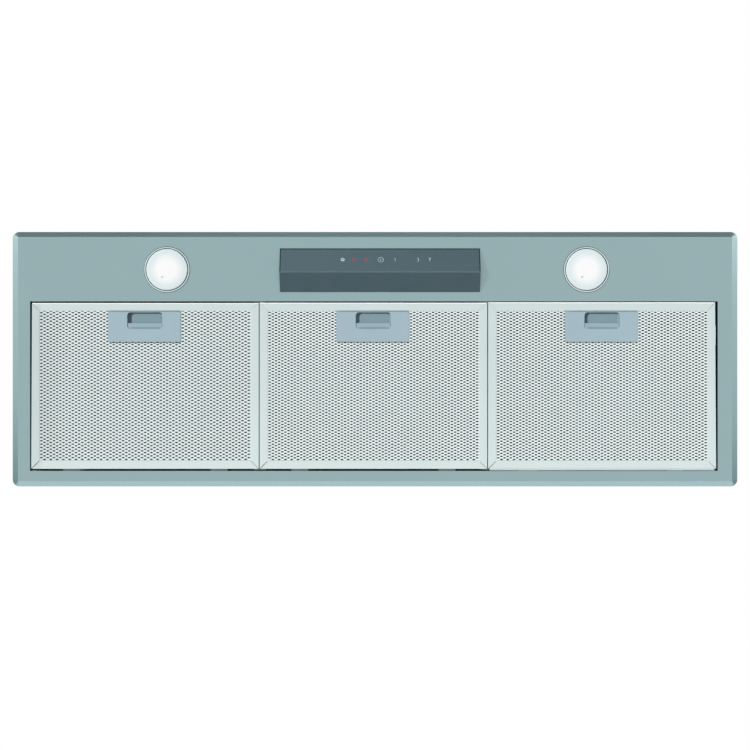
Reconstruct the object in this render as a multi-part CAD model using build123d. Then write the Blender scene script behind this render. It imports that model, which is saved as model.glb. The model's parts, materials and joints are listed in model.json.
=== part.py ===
"""Built-in range hood insert, in millimetres.

Frame: +Z up as installed, X along the hood, -Y towards the cook, who reaches the control panel there.
z = 0 is the cabinet's underside, where the face plate's rim seats. The visible face looks down.
"""
from build123d import *
from math import asin, cos, degrees, hypot, radians, sin, sqrt
import os

os.makedirs("parts", exist_ok=True)

# ---- Fits -------------------------------------------------------------------------------------
RUNNING = 0.05            # radial clearance of a shaft or pin in its bore
SLIDING = 0.1             # between faces that slide on each other
LOOSE = 0.3               # between pieces that must not touch
SCREW_PLAY = 0.2          # radial, of a screw's shank in a sheet
SEAM = 0.05               # between the panels that make up a casing
WEDGES = 16               # parts of a ring or a spiral

# ---- Face plate -------------------------------------------------------------------------------
PLATE_LENGTH = 860.0
PLATE_DEPTH = 300.0
PLATE_DROP = 8.0          # the visible face lies this far below the cabinet
PLATE_SHEET = 1.0
PLATE_CORNER = 8.0
BEVEL_WIDTH = 7.2
BEVEL_HEIGHT = 5.5
RIM_RETURN = 8.0          # width of the folded rim that seats on the cabinet
MARGIN_LEFT = 20.35       # from the plate's edge to the filter opening
MARGIN_RIGHT = 24.15
MARGIN_FRONT = 81.4
MARGIN_REAR = 18.4
LIP_HEIGHT = 11.0         # of the opening's upturned lips, above the inside of the face

# ---- Grease filters ---------------------------------------------------------------------------
FILTER_COUNT = 3
FILTER_THICK = 9.0
FILTER_END_GAP = 2.0      # at the two short ends of the opening
FILTER_MID_GAP = 1.05
FILTER_FRONT_GAP = 2.2
FILTER_REAR_GAP = 2.3
RAIL_WIDTH = 10.3
RAIL_SHEET = 0.8
RAIL_MITRE_GAP = 0.12
MESH_SHEET = 0.8
MESH_COLUMNS = 17
MESH_ROWS = 17
MESH_HOLE_SHARE = 0.62    # of a hole's pitch that the hole takes up
HOOK_SPACING = 175.0      # between a filter's two rear hook tabs
HOOK_WIDTH = 20.0
HOOK_SHEET = 0.8
HOOK_REACH = 6.2          # past the filter's rear edge
HOOK_RISE = 2.5           # from the visible face to the tab's underside
HOOK_SLOT_PLAY = 1.0
HOOK_SLOT_HEIGHT = 5.0

# ---- Filter handle and latch ------------------------------------------------------------------
HANDLE_LENGTH = 86.0
HANDLE_DEPTH = 36.8
HANDLE_SHEET = 0.8
POCKET_LENGTH = 41.7
POCKET_MOUTH = 19.1
POCKET_CORNER = 3.8
POCKET_SETBACK = 1.8      # from the handle's front edge to the pocket
POCKET_DEPTH = 6.0
POCKET_WALL = 1.0
LATCH_TRAVEL = 5.0
LATCH_SPARE = 0.5         # what is left behind the grip lip at the end of its travel
LIP_LENGTH = 8.0          # the grip lip, along the latch's travel
LIP_SHOWING = 6.5
LIP_SHEET = 1.2
LIP_WALL = 2.0
TONGUE_OFFSET = 15.0      # from the filter's middle
TONGUE_WIDTH = 3.0
TONGUE_SLOT_PLAY = 1.0
CARRIAGE_THICK = 1.0
CARRIAGE_LENGTH = 6.0
WEB_HALF = 8.0
SPRING_RADIUS = 1.4
SPRING_BORE = 1.0

# ---- Divider bars -----------------------------------------------------------------------------
DIVIDER_WIDTH = 14.0
DIVIDER_THICK = 1.5

# ---- Control panel ----------------------------------------------------------------------------
PANEL_CENTRE_X = 5.75
PANEL_LENGTH = 237.0
PANEL_FRONT = 19.5        # from the plate's front edge to the panel's front edge
PANEL_RIDGE_BACK = 26.6   # from the panel's front edge to its ridge
PANEL_DEPTH = 50.7
PANEL_DROP = 16.0         # of the ridge below the face
PANEL_EDGE = 1.2          # the upright edge all round
PANEL_CORNER = 2.0
PANEL_FRONT_WALL = 4.0
PANEL_WALL = 2.0
FASCIA_THICK = 1.5
FASCIA_INSET = 1.6
NECK_INSET = 5.0          # from the panel's outline to its neck
NECK_HEIGHT = 11.0
NECK_CLEARANCE = 0.4
WINDOW_HALF = 96.0
WINDOW_WIDTH = 14.0
BOARD_HALF = 102.0
BOARD_WIDTH = 17.6
BOARD_THICK = 1.6
GUIDE_RADIUS = 2.5
SYMBOL_X = (-44.05, -30.85, -16.65, 0.95, 17.95, 31.55, 44.95, 58.95)   # from the panel's middle

# ---- Lamps ------------------------------------------------------------------------------------
LAMP_FROM_END = 181.0     # from the plate's short edge to a lamp's middle
LAMP_FROM_FRONT = 44.4
LAMP_RING_RADIUS = 28.0
LAMP_HOLE_RADIUS = 26.0
LAMP_HOLE_PLAY = 0.3
LAMP_GLASS_RADIUS = 24.7
LAMP_BORE_RADIUS = 23.2
LAMP_RING_DROP = 2.2
LAMP_GLASS_THICK = 2.1
LAMP_GLASS_DROP = 1.2     # of the glass below the visible face
LAMP_BARREL = 6.0
LAMP_CUP_HEIGHT = 15.3
LAMP_SEAT_RADIUS = 9.0
LAMP_SHELL = 1.0
LAMP_LID = 2.0
FIN_RADIUS = 20.0
FIN_CORE = 9.0
FIN_THICK = 1.2
FIN_PITCH = 3.2
FIN_COUNT = 4
CLIP_WIDTH = 8.0
CLIP_SHEET = 0.6
CLIP_REACH = 11.3
CLIP_PAD = 6.0            # height of the clip's upright part
CLIP_TOE = 3.0            # length of its turned-up toe
CLIP_FROM_TOP = 1.0

# ---- Housing ----------------------------------------------------------------------------------
SHEET = 1.0
HOUSING_SIDE_INSET = 13.5
HOUSING_FRONT_INSET = 16.5
HOUSING_REAR_INSET = 12.5
HOUSING_TOP = 110.0
FOOT_WIDTH = 4.5
SIDE_SCREW_SPACING = 60.0
SIDE_SCREW_Z = 88.0
SIDE_SCREW_RADIUS = 2.25
SIDE_SCREW_Y = -10.0

# ---- Motor tower ------------------------------------------------------------------------------
TOWER_LENGTH = 300.0
TOWER_TOP = 348.0
TOWER_FLANGE = 12.0
TOWER_CORNER = 6.0
TOWER_SCREW_SPACING = 200.0

# ---- Duct spigot and flaps --------------------------------------------------------------------
SPIGOT_RADIUS = 74.5
SPIGOT_WALL = 1.5
SPIGOT_TOP = 410.0
SPIGOT_FLANGE = 176.0
SPIGOT_FLANGE_THICK = 2.0
SPIGOT_SCREW_SPACING = 156.0
STOP_WIDTH = 4.0
STOP_THICK = 1.2
AXLE_Z = 376.0
AXLE_RADIUS = 2.5
FLAP_THICK = 1.2
FLAP_PLAY = 1.5           # between a flap's round edge and the spigot
FLAP_EDGE = 5.4           # from the axle to a flap's straight edge
KNUCKLE_RADIUS = 4.2
KNUCKLE_COUNT = 6
KNUCKLE_SPAN = 126.0
KNUCKLE_GAP = 0.5

# ---- Blower -----------------------------------------------------------------------------------
BLOWER_Y = -14.0
BLOWER_Z = 215.0
SCROLL_FIRST_RADIUS = 82.0
SCROLL_STEP = 6.0         # growth of the scroll's radius with each quarter turn
SCROLL_HALF_WIDTH = 56.0
SCROLL_WALL = 1.2
SCROLL_FLANGE = 12.0
SCROLL_FLANGE_THICK = 2.0
INLET_RADIUS = 58.0
RUBBER_HEIGHT = 2.0
RUBBER_RADIUS = 5.0
WHEEL_RADIUS = 72.0
BLADE_DEPTH = 12.0
BLADE_THICK = 1.2
BLADE_LEAN = 25.0         # degrees from radial
BLADE_COUNT = 32
WHEEL_HALF_WIDTH = 52.0
WHEEL_RING = 2.0
WHEEL_DISC = 2.0
WHEEL_DISC_X = -6.0
HUB_RADIUS = 12.0
HUB_LENGTH = 16.0
SHAFT_RADIUS = 4.0
SHAFT_END = 62.0
MOTOR_RADIUS = 44.0
MOTOR_START = 0.0
MOTOR_BELL = 30.0         # radius of the motor's raised end bells
MOTOR_BELL_THICK = 3.0
SPIDER_GAP = 2.8          # between the scroll's side and the motor spider
SPIDER_THICK = 2.0
SPIDER_ARM = 12.0
SPIDER_REACH = 73.0
SPIDER_MOUNT_RADIUS = 66.0
SPIDER_ARMS = 3

# ---- Electronics box, on the housing's top ----------------------------------------------------
BOX_FROM_TOWER = 25.0
BOX_CENTRE_Y = -15.0
BOX_LENGTH = 150.0
BOX_DEPTH = 100.0
BOX_HEIGHT = 38.0
BOX_WALL = 2.0
LID_THICK = 2.5
LID_RIM = 3.0
LID_CORNER = 4.0
POST_HEIGHT = 5.0
POST_RADIUS = 3.0
BOSS_RADIUS = 4.0         # of the corner bosses that take the lid's screws
POWER_BOARD_LENGTH = 94.0
POWER_BOARD_DEPTH = 84.0
BOARD_BLOCKS = (          # x, y, length, depth and height of the larger components
    (8.0, 10.0, 26.0, 28.0, 20.0),
    (44.0, 12.0, 16.0, 20.0, 12.0),
    (66.0, 14.0, 20.0, 10.0, 10.0),
)
BOARD_CANS = (14.0, 32.0, 50.0, 68.0)     # x of the round components
BOARD_CAN_RADIUS = 5.0
BOARD_CAN_HEIGHT = 14.0
BOARD_CAN_INSET = 20.0
CAPACITOR_RADIUS = 15.0
CAPACITOR_LENGTH = 62.0
CABLE_RADIUS = 4.2
GLAND_THREAD = 8.0
GLAND_NUT = 11.0
GLAND_OUTSIDE = 16.0
GLAND_INSIDE = 6.0
WIRE_HOLE_RADIUS = 9.0

# ---- Cabinet clamps ---------------------------------------------------------------------------
CLAMP_SCREW_INSET = 14.5  # from the housing's inner wall to the clamp screw
CLAMP_Y = (-50.0, 92.0)
CLAMP_SCREW_RADIUS = 2.5
EAR_LOW = 14.0            # underside of the lower ear
EAR_HIGH = 66.0
EAR_THICK = 1.5
EAR_WIDTH = 20.0
EAR_FOOT = 10.0
DOG_Z = 50.0
DOG_THICK = 4.0
DOG_BOSS_HEIGHT = 10.0
DOG_BOSS_RADIUS = 6.0
DOG_WIDTH = 12.0
DOG_LENGTH = 33.0
DOG_TRAVEL = 30.0
SLOT_MARGIN = 2.0
CLAMP_HEAD_RADIUS = 4.5
CLAMP_HEAD_HEIGHT = 4.0
CLAMP_COLLAR_RADIUS = 4.0
CLAMP_COLLAR_HEIGHT = 2.0
CLAMP_TIP = 4.0           # of the screw above its upper ear
CLAMP_SLOT_WIDTH = 1.0
CLAMP_SLOT_DEPTH = 1.2

# ---- Screws -----------------------------------------------------------------------------------
SCREW_RADIUS = 2.0
SCREW_HEAD_RADIUS = 4.0
SCREW_HEAD_HEIGHT = 2.4
SCREW_LENGTH = 6.0

# ---- Places that follow from the sizes above --------------------------------------------------
FACE = -PLATE_DROP
PAN_FLOOR = FACE + PLATE_SHEET
LIP_TOP = PAN_FLOOR + LIP_HEIGHT
OPEN_X0 = -PLATE_LENGTH / 2 + MARGIN_LEFT
OPEN_X1 = PLATE_LENGTH / 2 - MARGIN_RIGHT
OPEN_Y0 = -PLATE_DEPTH / 2 + MARGIN_FRONT
OPEN_Y1 = PLATE_DEPTH / 2 - MARGIN_REAR

FILTER_ROOM = OPEN_X1 - OPEN_X0 - 2 * FILTER_END_GAP - (FILTER_COUNT - 1) * FILTER_MID_GAP
FILTER_LENGTH = FILTER_ROOM / FILTER_COUNT
FILTER_Y0 = OPEN_Y0 + FILTER_FRONT_GAP
FILTER_Y1 = OPEN_Y1 - FILTER_REAR_GAP
FILTER_TOP = FACE + FILTER_THICK
FILTER_PITCH = FILTER_LENGTH + FILTER_MID_GAP
FILTER_X = [OPEN_X0 + FILTER_END_GAP + FILTER_LENGTH / 2 + i * FILTER_PITCH for i in range(FILTER_COUNT)]
FILTER_NAMES = ("left", "centre", "right")
WINDOW_Y0 = FILTER_Y0 + RAIL_WIDTH
WINDOW_Y1 = FILTER_Y1 - RAIL_WIDTH
MESH_HALF_X = FILTER_LENGTH / 2 - RAIL_SHEET - LOOSE
HOOK_Z = FACE + HOOK_RISE

HANDLE_Y0 = WINDOW_Y0
HANDLE_Y1 = HANDLE_Y0 + HANDLE_DEPTH
MOUTH_Y0 = HANDLE_Y0 + POCKET_SETBACK
MOUTH_Y1 = MOUTH_Y0 + POCKET_MOUTH
LIP_Y0 = MOUTH_Y1 - LIP_SHOWING
TUB_Y1 = LIP_Y0 + LIP_LENGTH + LATCH_TRAVEL + LATCH_SPARE
TUB_FLOOR = FACE + POCKET_DEPTH
TUB_BACK = TUB_FLOOR + POCKET_WALL
CARRIAGE_Z = TUB_BACK + SLIDING
MESH_BOTTOM = FACE + RAIL_SHEET
BACK_MESH_TOP = FILTER_TOP - RAIL_SHEET

LAMP_Y = -PLATE_DEPTH / 2 + LAMP_FROM_FRONT
LAMP_X = (-PLATE_LENGTH / 2 + LAMP_FROM_END, PLATE_LENGTH / 2 - LAMP_FROM_END)
LAMP_BARREL_RADIUS = LAMP_HOLE_RADIUS - LAMP_HOLE_PLAY
LAMP_GLASS_TOP = FACE - LAMP_GLASS_DROP + LAMP_GLASS_THICK
CUP_TOP = LAMP_GLASS_TOP + LAMP_CUP_HEIGHT

HOUSING_X = PLATE_LENGTH / 2 - HOUSING_SIDE_INSET
HOUSING_Y0 = -PLATE_DEPTH / 2 + HOUSING_FRONT_INSET
HOUSING_Y1 = PLATE_DEPTH / 2 - HOUSING_REAR_INSET

TOWER_X = TOWER_LENGTH / 2
TOWER_Y0 = HOUSING_Y0 + TOWER_FLANGE
TOWER_Y1 = HOUSING_Y1 - TOWER_FLANGE

WHEEL_OUTLET_Y0 = BLOWER_Y - SCROLL_STEP / 2
WHEEL_OUTLET_Y1 = BLOWER_Y + SCROLL_STEP / 2 + SCROLL_FIRST_RADIUS + 2 * SCROLL_STEP
SPIGOT_Y = (WHEEL_OUTLET_Y0 + WHEEL_OUTLET_Y1) / 2
SPIGOT_BORE = SPIGOT_RADIUS - SPIGOT_WALL
SPIGOT_BASE = TOWER_TOP
SCROLL_TOP = TOWER_TOP - SHEET - RUBBER_HEIGHT
SPIDER_X = SCROLL_HALF_WIDTH + SCROLL_WALL + SPIDER_GAP

BOX_X1 = -TOWER_X - BOX_FROM_TOWER
BOX_X0 = BOX_X1 - BOX_LENGTH
BOX_CENTRE_X = (BOX_X0 + BOX_X1) / 2
BOX_Y0 = BOX_CENTRE_Y - BOX_DEPTH / 2
BOX_Y1 = BOX_CENTRE_Y + BOX_DEPTH / 2
BOX_FLOOR = HOUSING_TOP + BOX_WALL
BOX_TOP = HOUSING_TOP + BOX_HEIGHT

CLAMP_X = HOUSING_X - SHEET - CLAMP_SCREW_INSET
CLAMPS = {
    "left_front": (-1, CLAMP_Y[0]),
    "left_rear": (-1, CLAMP_Y[1]),
    "right_front": (1, CLAMP_Y[0]),
    "right_rear": (1, CLAMP_Y[1]),
}


# ---- Small helpers ----------------------------------------------------------------------------
def block(x0, x1, y0, y1, z0, z1):
    """A box between two corners."""
    return Pos((x0 + x1) / 2, (y0 + y1) / 2, (z0 + z1) / 2) * Box(x1 - x0, y1 - y0, z1 - z0)


def rod_z(x, y, radius, z0, z1):
    """An upright cylinder."""
    return Pos(x, y, (z0 + z1) / 2) * Cylinder(radius, z1 - z0)


def rod_x(x0, x1, y, z, radius):
    """A cylinder along X."""
    return Pos((x0 + x1) / 2, y, z) * Rot(0, 90, 0) * Cylinder(radius, x1 - x0)


def rod_y(x, y0, y1, z, radius):
    """A cylinder along Y."""
    return Pos(x, (y0 + y1) / 2, z) * Rot(90, 0, 0) * Cylinder(radius, y1 - y0)


def spun(points, x, y):
    """A solid of revolution about an upright axis, from (radius, z) points."""
    outline = make_face(Plane.XZ * Polyline(*points, close=True))
    return Pos(x, y, 0) * revolve(outline, Axis.Z)


def along_x(points, x0, x1):
    """A solid from (y, z) points, extruded between two places on X."""
    outline = make_face(Plane.YZ * Polyline(*points, close=True))
    return Pos(x0, 0, 0) * extrude(outline, x1 - x0)


def strip_ring(x0, x1, y0, y1, width, z0, z1):
    """Four butted strips inside a rectangle. The two along X run its full length."""
    inner0 = y0 + width + SEAM
    inner1 = y1 - width - SEAM
    ring = block(x0, x1, y0, y0 + width, z0, z1) + block(x0, x1, y1 - width, y1, z0, z1)
    ring += block(x0, x0 + width, inner0, inner1, z0, z1)
    return ring + block(x1 - width, x1, inner0, inner1, z0, z1)


def mitred(ring, x0, x1, y0, y1, reach, gap):
    """A ring cut into four sides by mitres from the corners of a rectangle."""
    height = 2 * (TOWER_TOP - FACE)
    for x, y, turn in ((x0, y0, 45), (x1, y0, 135), (x1, y1, 45), (x0, y1, 135)):
        ring -= Pos(x, y, 0) * Rot(0, 0, turn) * Box(2 * reach, gap, height)
    return ring


def parted(sheet, *places):
    """A sheet cut by full height seams, each ("x" or "y", where)."""
    far = 2 * PLATE_LENGTH
    for way, place in places:
        size = (SEAM, far, far) if way == "x" else (far, SEAM, far)
        sheet -= Pos(*((place, 0, 0) if way == "x" else (0, place, 0))) * Box(*size)
    return sheet


def fanned(shape, y, z):
    """A shape round an axis along X, cut into WEDGES by radial seams."""
    reach = 2 * TOWER_X
    for i in range(WEDGES):
        cut = Rot(360 * (i + 0.5) / WEDGES, 0, 0) * Pos(0, 0, reach / 2) * Box(reach, SEAM, reach)
        shape -= Pos(0, y, z) * cut
    return shape


def group(solids):
    """Separate solids kept in one node."""
    return Compound(children=[part for solid in solids for part in solid.solids()])


def save(node, shape):
    """Write one node."""
    export_step(shape, f"parts/{node}.step")


def screw_down(x, y, seat):
    """A pan head screw whose head seats at the height given."""
    head = rod_z(x, y, SCREW_HEAD_RADIUS, seat, seat + SCREW_HEAD_HEIGHT)
    head = fillet(head.edges().sort_by(Axis.Z)[-1], SCREW_HEAD_HEIGHT * 0.4)
    return head + rod_z(x, y, SCREW_RADIUS, seat - SCREW_LENGTH, seat)


def screw_hole(x, y, z0, z1):
    """What a sheet loses to such a screw."""
    return rod_z(x, y, SCREW_RADIUS + SCREW_PLAY, z0, z1)


# ---- Face plate -------------------------------------------------------------------------------
def bevelled_slab(length, depth, top_corner, bottom_corner, inset, bottom, bevel_top):
    """A slab up to z = 0 whose sides lean in below bevel_top."""
    upright = Pos(0, 0, bevel_top) * extrude(RectangleRounded(length, depth, top_corner), -bevel_top)
    wide = Pos(0, 0, bevel_top) * RectangleRounded(length, depth, top_corner)
    narrow = Pos(0, 0, bottom) * RectangleRounded(length - 2 * inset, depth - 2 * inset, bottom_corner)
    return upright + loft([narrow, wide], ruled=True)


def lamp_places():
    return [(x, LAMP_Y) for x in LAMP_X]


def panel_limits(inset):
    """x and y limits of the control panel's outline, moved in by an inset."""
    y0 = -PLATE_DEPTH / 2 + PANEL_FRONT
    half = PANEL_LENGTH / 2 - inset
    return PANEL_CENTRE_X - half, PANEL_CENTRE_X + half, y0 + inset, y0 + PANEL_DEPTH - inset


def make_face_plate():
    """The sheet in four strips, its bevelled sides with the rim's return, and the opening's lips."""
    slant = hypot(BEVEL_WIDTH, BEVEL_HEIGHT)
    across = PLATE_SHEET * BEVEL_HEIGHT / slant
    down = PLATE_SHEET * BEVEL_WIDTH / slant
    bevel_top = FACE + BEVEL_HEIGHT
    inner_top = bevel_top + down - (PLATE_SHEET - across) * BEVEL_HEIGHT / BEVEL_WIDTH
    inner_inset = across + (BEVEL_HEIGHT + down - PLATE_SHEET) * BEVEL_WIDTH / BEVEL_HEIGHT
    corner_foot = PLATE_CORNER - BEVEL_WIDTH
    outer = bevelled_slab(
        PLATE_LENGTH, PLATE_DEPTH, PLATE_CORNER, corner_foot, BEVEL_WIDTH, FACE, bevel_top
    )
    inner = bevelled_slab(
        PLATE_LENGTH - 2 * PLATE_SHEET,
        PLATE_DEPTH - 2 * PLATE_SHEET,
        PLATE_CORNER - PLATE_SHEET,
        corner_foot * 0.6,
        inner_inset - PLATE_SHEET,
        PAN_FLOOR,
        inner_top,
    )
    plate = outer - inner
    seat = Pos(0, 0, -PLATE_SHEET) * extrude(
        RectangleRounded(PLATE_LENGTH - PLATE_SHEET, PLATE_DEPTH - PLATE_SHEET, PLATE_CORNER), PLATE_SHEET
    )
    seat -= Box(PLATE_LENGTH - 2 * RIM_RETURN, PLATE_DEPTH - 2 * RIM_RETURN, 4 * PLATE_SHEET)
    plate += seat
    fold = inner_inset + LOOSE
    fold_x = PLATE_LENGTH / 2 - fold
    fold_y = PLATE_DEPTH / 2 - fold
    height = 4 * PLATE_SHEET
    plate -= Pos(0, 0, FACE) * (
        Box(2 * fold_x + SEAM, 2 * fold_y + SEAM, height) - Box(2 * fold_x - SEAM, 2 * fold_y - SEAM, height)
    )
    sheet, border = plate.solids().sort_by(lambda solid: solid.bounding_box().size.X)
    half_x, half_y = PLATE_LENGTH / 2, PLATE_DEPTH / 2
    border = mitred(border, -half_x, half_x, -half_y, half_y, 2 * PLATE_CORNER, SEAM)
    sheet -= block(OPEN_X0, OPEN_X1, OPEN_Y0, OPEN_Y1, FACE - 1, PAN_FLOOR + 1)
    for x, y in lamp_places():
        sheet -= rod_z(x, y, LAMP_HOLE_RADIUS, FACE - 1, PAN_FLOOR + 1)
    x0, x1, y0, y1 = panel_limits(NECK_INSET - NECK_CLEARANCE)
    sheet -= block(x0, x1, y0, y1, FACE - 1, PAN_FLOOR + 1)
    sheet = parted(sheet, ("y", OPEN_Y0 - SEAM / 2), ("y", OPEN_Y1 + SEAM / 2))
    return group([sheet, border, make_lips()])


def make_lips():
    """Upright strips round the filter opening, slotted for the hook tabs and the latch tongues."""
    lips = strip_ring(
        OPEN_X0 - PLATE_SHEET, OPEN_X1 + PLATE_SHEET, OPEN_Y0 - PLATE_SHEET, OPEN_Y1 + PLATE_SHEET,
        PLATE_SHEET, PAN_FLOOR + SEAM, LIP_TOP,
    )
    slot_top = PAN_FLOOR + HOOK_SLOT_HEIGHT
    for filter_x in FILTER_X:
        for side in (-1, 1):
            x = filter_x + side * HOOK_SPACING / 2
            half = HOOK_WIDTH / 2 + HOOK_SLOT_PLAY
            lips -= block(x - half, x + half, OPEN_Y1 - 1, OPEN_Y1 + 2 * PLATE_SHEET, PAN_FLOOR, slot_top)
        x = filter_x + TONGUE_OFFSET
        half = TONGUE_WIDTH / 2 + TONGUE_SLOT_PLAY
        low = CARRIAGE_Z - TONGUE_SLOT_PLAY
        high = CARRIAGE_Z + CARRIAGE_THICK + TONGUE_SLOT_PLAY
        lips -= block(x - half, x + half, OPEN_Y0 - 2 * PLATE_SHEET, OPEN_Y0 + 1, low, high)
    return lips


# ---- Filters ----------------------------------------------------------------------------------
def make_filter_frame():
    """Four mitred channel rails. The two rear tabs are bent out of the rear rail."""
    half = FILTER_LENGTH / 2
    frame = block(-half, half, FILTER_Y0, FILTER_Y1, FACE, FILTER_TOP)
    inner_half = half - RAIL_WIDTH
    frame -= block(-inner_half, inner_half, WINDOW_Y0, WINDOW_Y1, FACE - 1, FILTER_TOP + 1)
    frame -= block(
        -half + RAIL_SHEET,
        half - RAIL_SHEET,
        FILTER_Y0 + RAIL_SHEET,
        FILTER_Y1 - RAIL_SHEET,
        FACE + RAIL_SHEET,
        FILTER_TOP - RAIL_SHEET,
    )
    for side in (-1, 1):
        x = side * HOOK_SPACING / 2
        frame += block(
            x - HOOK_WIDTH / 2,
            x + HOOK_WIDTH / 2,
            FILTER_Y1 - RAIL_SHEET,
            FILTER_Y1 + HOOK_REACH,
            HOOK_Z,
            HOOK_Z + HOOK_SHEET,
        )
    frame -= block(
        TONGUE_OFFSET - TONGUE_WIDTH / 2 - LOOSE,
        TONGUE_OFFSET + TONGUE_WIDTH / 2 + LOOSE,
        FILTER_Y0 - 1,
        FILTER_Y0 + 2 * RAIL_SHEET,
        CARRIAGE_Z - LOOSE,
        CARRIAGE_Z + CARRIAGE_THICK + LOOSE,
    )
    return mitred(frame, -half, half, FILTER_Y0, FILTER_Y1, 2 * RAIL_WIDTH, RAIL_MITRE_GAP)


CUT_HALF = POCKET_LENGTH / 2 + POCKET_WALL + LOOSE


def handle_cut(z0, z1):
    """The room that the handle, the latch and its tongue take from the filter's layers."""
    return block(-CUT_HALF, CUT_HALF, FILTER_Y0, TUB_Y1 + POCKET_WALL + LOOSE, z0, z1)


def beside_handle():
    """Seams in line with that room's sides."""
    return [("x", side * (CUT_HALF + SEAM / 2)) for side in (-1, 1)]


def make_mesh(z0):
    """An expanded metal sheet, coarser than the real one, whose diamonds are staggered by rows."""
    pitch_x = (FILTER_LENGTH - 2 * RAIL_WIDTH) / MESH_COLUMNS
    pitch_y = (WINDOW_Y1 - WINDOW_Y0) / MESH_ROWS
    middle_y = (FILTER_Y0 + FILTER_Y1) / 2
    half_y = (FILTER_Y1 - FILTER_Y0) / 2 - RAIL_SHEET - LOOSE
    sheet = Rectangle(2 * MESH_HALF_X, 2 * half_y)
    hole_x = pitch_x * MESH_HOLE_SHARE / 2
    hole_y = pitch_y * MESH_HOLE_SHARE / 2
    diamond = Polygon((hole_x, 0), (0, hole_y), (-hole_x, 0), (0, -hole_y), align=None)
    holes = []
    for row in range(MESH_ROWS):
        stagger = row % 2
        for column in range(MESH_COLUMNS - stagger):
            x = (column - (MESH_COLUMNS - 1 - stagger) / 2) * pitch_x
            y = (row - (MESH_ROWS - 1) / 2) * pitch_y
            in_handle = abs(x) < HANDLE_LENGTH / 2 + hole_x and y + middle_y < HANDLE_Y1 + hole_y
            if not in_handle:
                holes.append(Pos(x, y) * diamond)
    sheet -= holes
    solid = Pos(0, middle_y, z0) * extrude(sheet, MESH_SHEET) - handle_cut(z0 - 1, z0 + MESH_SHEET + 1)
    return parted(solid, *beside_handle())


def make_grease_pad():
    z0 = MESH_BOTTOM + MESH_SHEET
    z1 = BACK_MESH_TOP - MESH_SHEET
    y0 = FILTER_Y0 + RAIL_SHEET + LOOSE
    y1 = FILTER_Y1 - RAIL_SHEET - LOOSE
    pad = block(-MESH_HALF_X, MESH_HALF_X, y0, y1, z0, z1) - handle_cut(z0 - 1, z1 + 1)
    return parted(pad, *beside_handle())


def make_handle():
    """The moulded plate round its finger pocket's mouth, and the tub behind it that holds the latch."""
    mouth_half = POCKET_LENGTH / 2
    height = 2 * HANDLE_SHEET
    plate = Pos(0, (HANDLE_Y0 + HANDLE_Y1) / 2, FACE) * extrude(
        RectangleRounded(HANDLE_LENGTH, HANDLE_DEPTH, POCKET_WALL), HANDLE_SHEET
    )
    plate -= Pos(0, (MOUTH_Y0 + MOUTH_Y1) / 2, FACE - HANDLE_SHEET / 2) * extrude(
        RectangleRounded(POCKET_LENGTH, POCKET_MOUTH, POCKET_CORNER), height
    )
    reach = (HANDLE_Y1 - MOUTH_Y1) * sqrt(2)
    plate = mitred(plate, -mouth_half, mouth_half, MOUTH_Y0, MOUTH_Y1, reach, SEAM)
    x1 = mouth_half + POCKET_WALL
    y0 = MOUTH_Y0 - POCKET_WALL
    y1 = TUB_Y1 + POCKET_WALL
    walls = strip_ring(-x1, x1, y0, y1, POCKET_WALL, FACE + HANDLE_SHEET + SEAM, TUB_FLOOR - SEAM)
    floor = block(-x1, x1, y0, y1, TUB_FLOOR, TUB_BACK)
    web = WEB_HALF + LOOSE
    slot_end = LIP_Y0 + LIP_WALL + LATCH_TRAVEL + LOOSE
    floor -= block(-web, web, LIP_Y0 - LOOSE, slot_end, TUB_FLOOR - POCKET_WALL, TUB_BACK + POCKET_WALL)
    floor = parted(floor, ("x", -web - SEAM / 2), ("x", web + SEAM / 2))
    return group([plate, walls, floor])


def make_latch_slider():
    """Grip lip, web, carriage and tongue in one moulding."""
    half = POCKET_LENGTH / 2 - LOOSE
    low = FACE + HANDLE_SHEET + 2 * SLIDING
    carriage_top = CARRIAGE_Z + CARRIAGE_THICK
    lip = block(-half, half, LIP_Y0, LIP_Y0 + LIP_LENGTH, low, low + LIP_SHEET)
    lip += block(-half, half, LIP_Y0, LIP_Y0 + LIP_WALL, low, TUB_FLOOR - LOOSE)
    lip += block(-WEB_HALF, WEB_HALF, LIP_Y0, LIP_Y0 + LIP_WALL, low, carriage_top)
    tongue_right = TONGUE_OFFSET + TONGUE_WIDTH / 2
    lip += block(
        -WEB_HALF - 2, tongue_right, LIP_Y0, LIP_Y0 + CARRIAGE_LENGTH, CARRIAGE_Z, carriage_top
    )
    tongue = block(
        tongue_right - TONGUE_WIDTH,
        tongue_right,
        OPEN_Y0 + LOOSE,
        LIP_Y0 + 1,
        CARRIAGE_Z,
        carriage_top,
    )
    return lip + tongue


def make_latch_spring():
    z = (TUB_FLOOR + FACE + HANDLE_SHEET + LIP_SHEET) / 2
    y0 = LIP_Y0 + LIP_WALL
    return rod_y(0, y0, TUB_Y1, z, SPRING_RADIUS) - rod_y(0, y0 - 1, TUB_Y1 + 1, z, SPRING_BORE)


def make_filters():
    pieces = {
        "filter_frame": make_filter_frame(),
        "front_mesh": make_mesh(MESH_BOTTOM),
        "grease_pad": make_grease_pad(),
        "back_mesh": make_mesh(BACK_MESH_TOP - MESH_SHEET),
        "filter_handle": make_handle(),
        "latch_slider": make_latch_slider(),
        "latch_spring": make_latch_spring(),
    }
    for name, x in zip(FILTER_NAMES, FILTER_X):
        for piece, shape in pieces.items():
            save(f"{piece}_{name}", group([Pos(x, 0, 0) * shape]))


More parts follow.
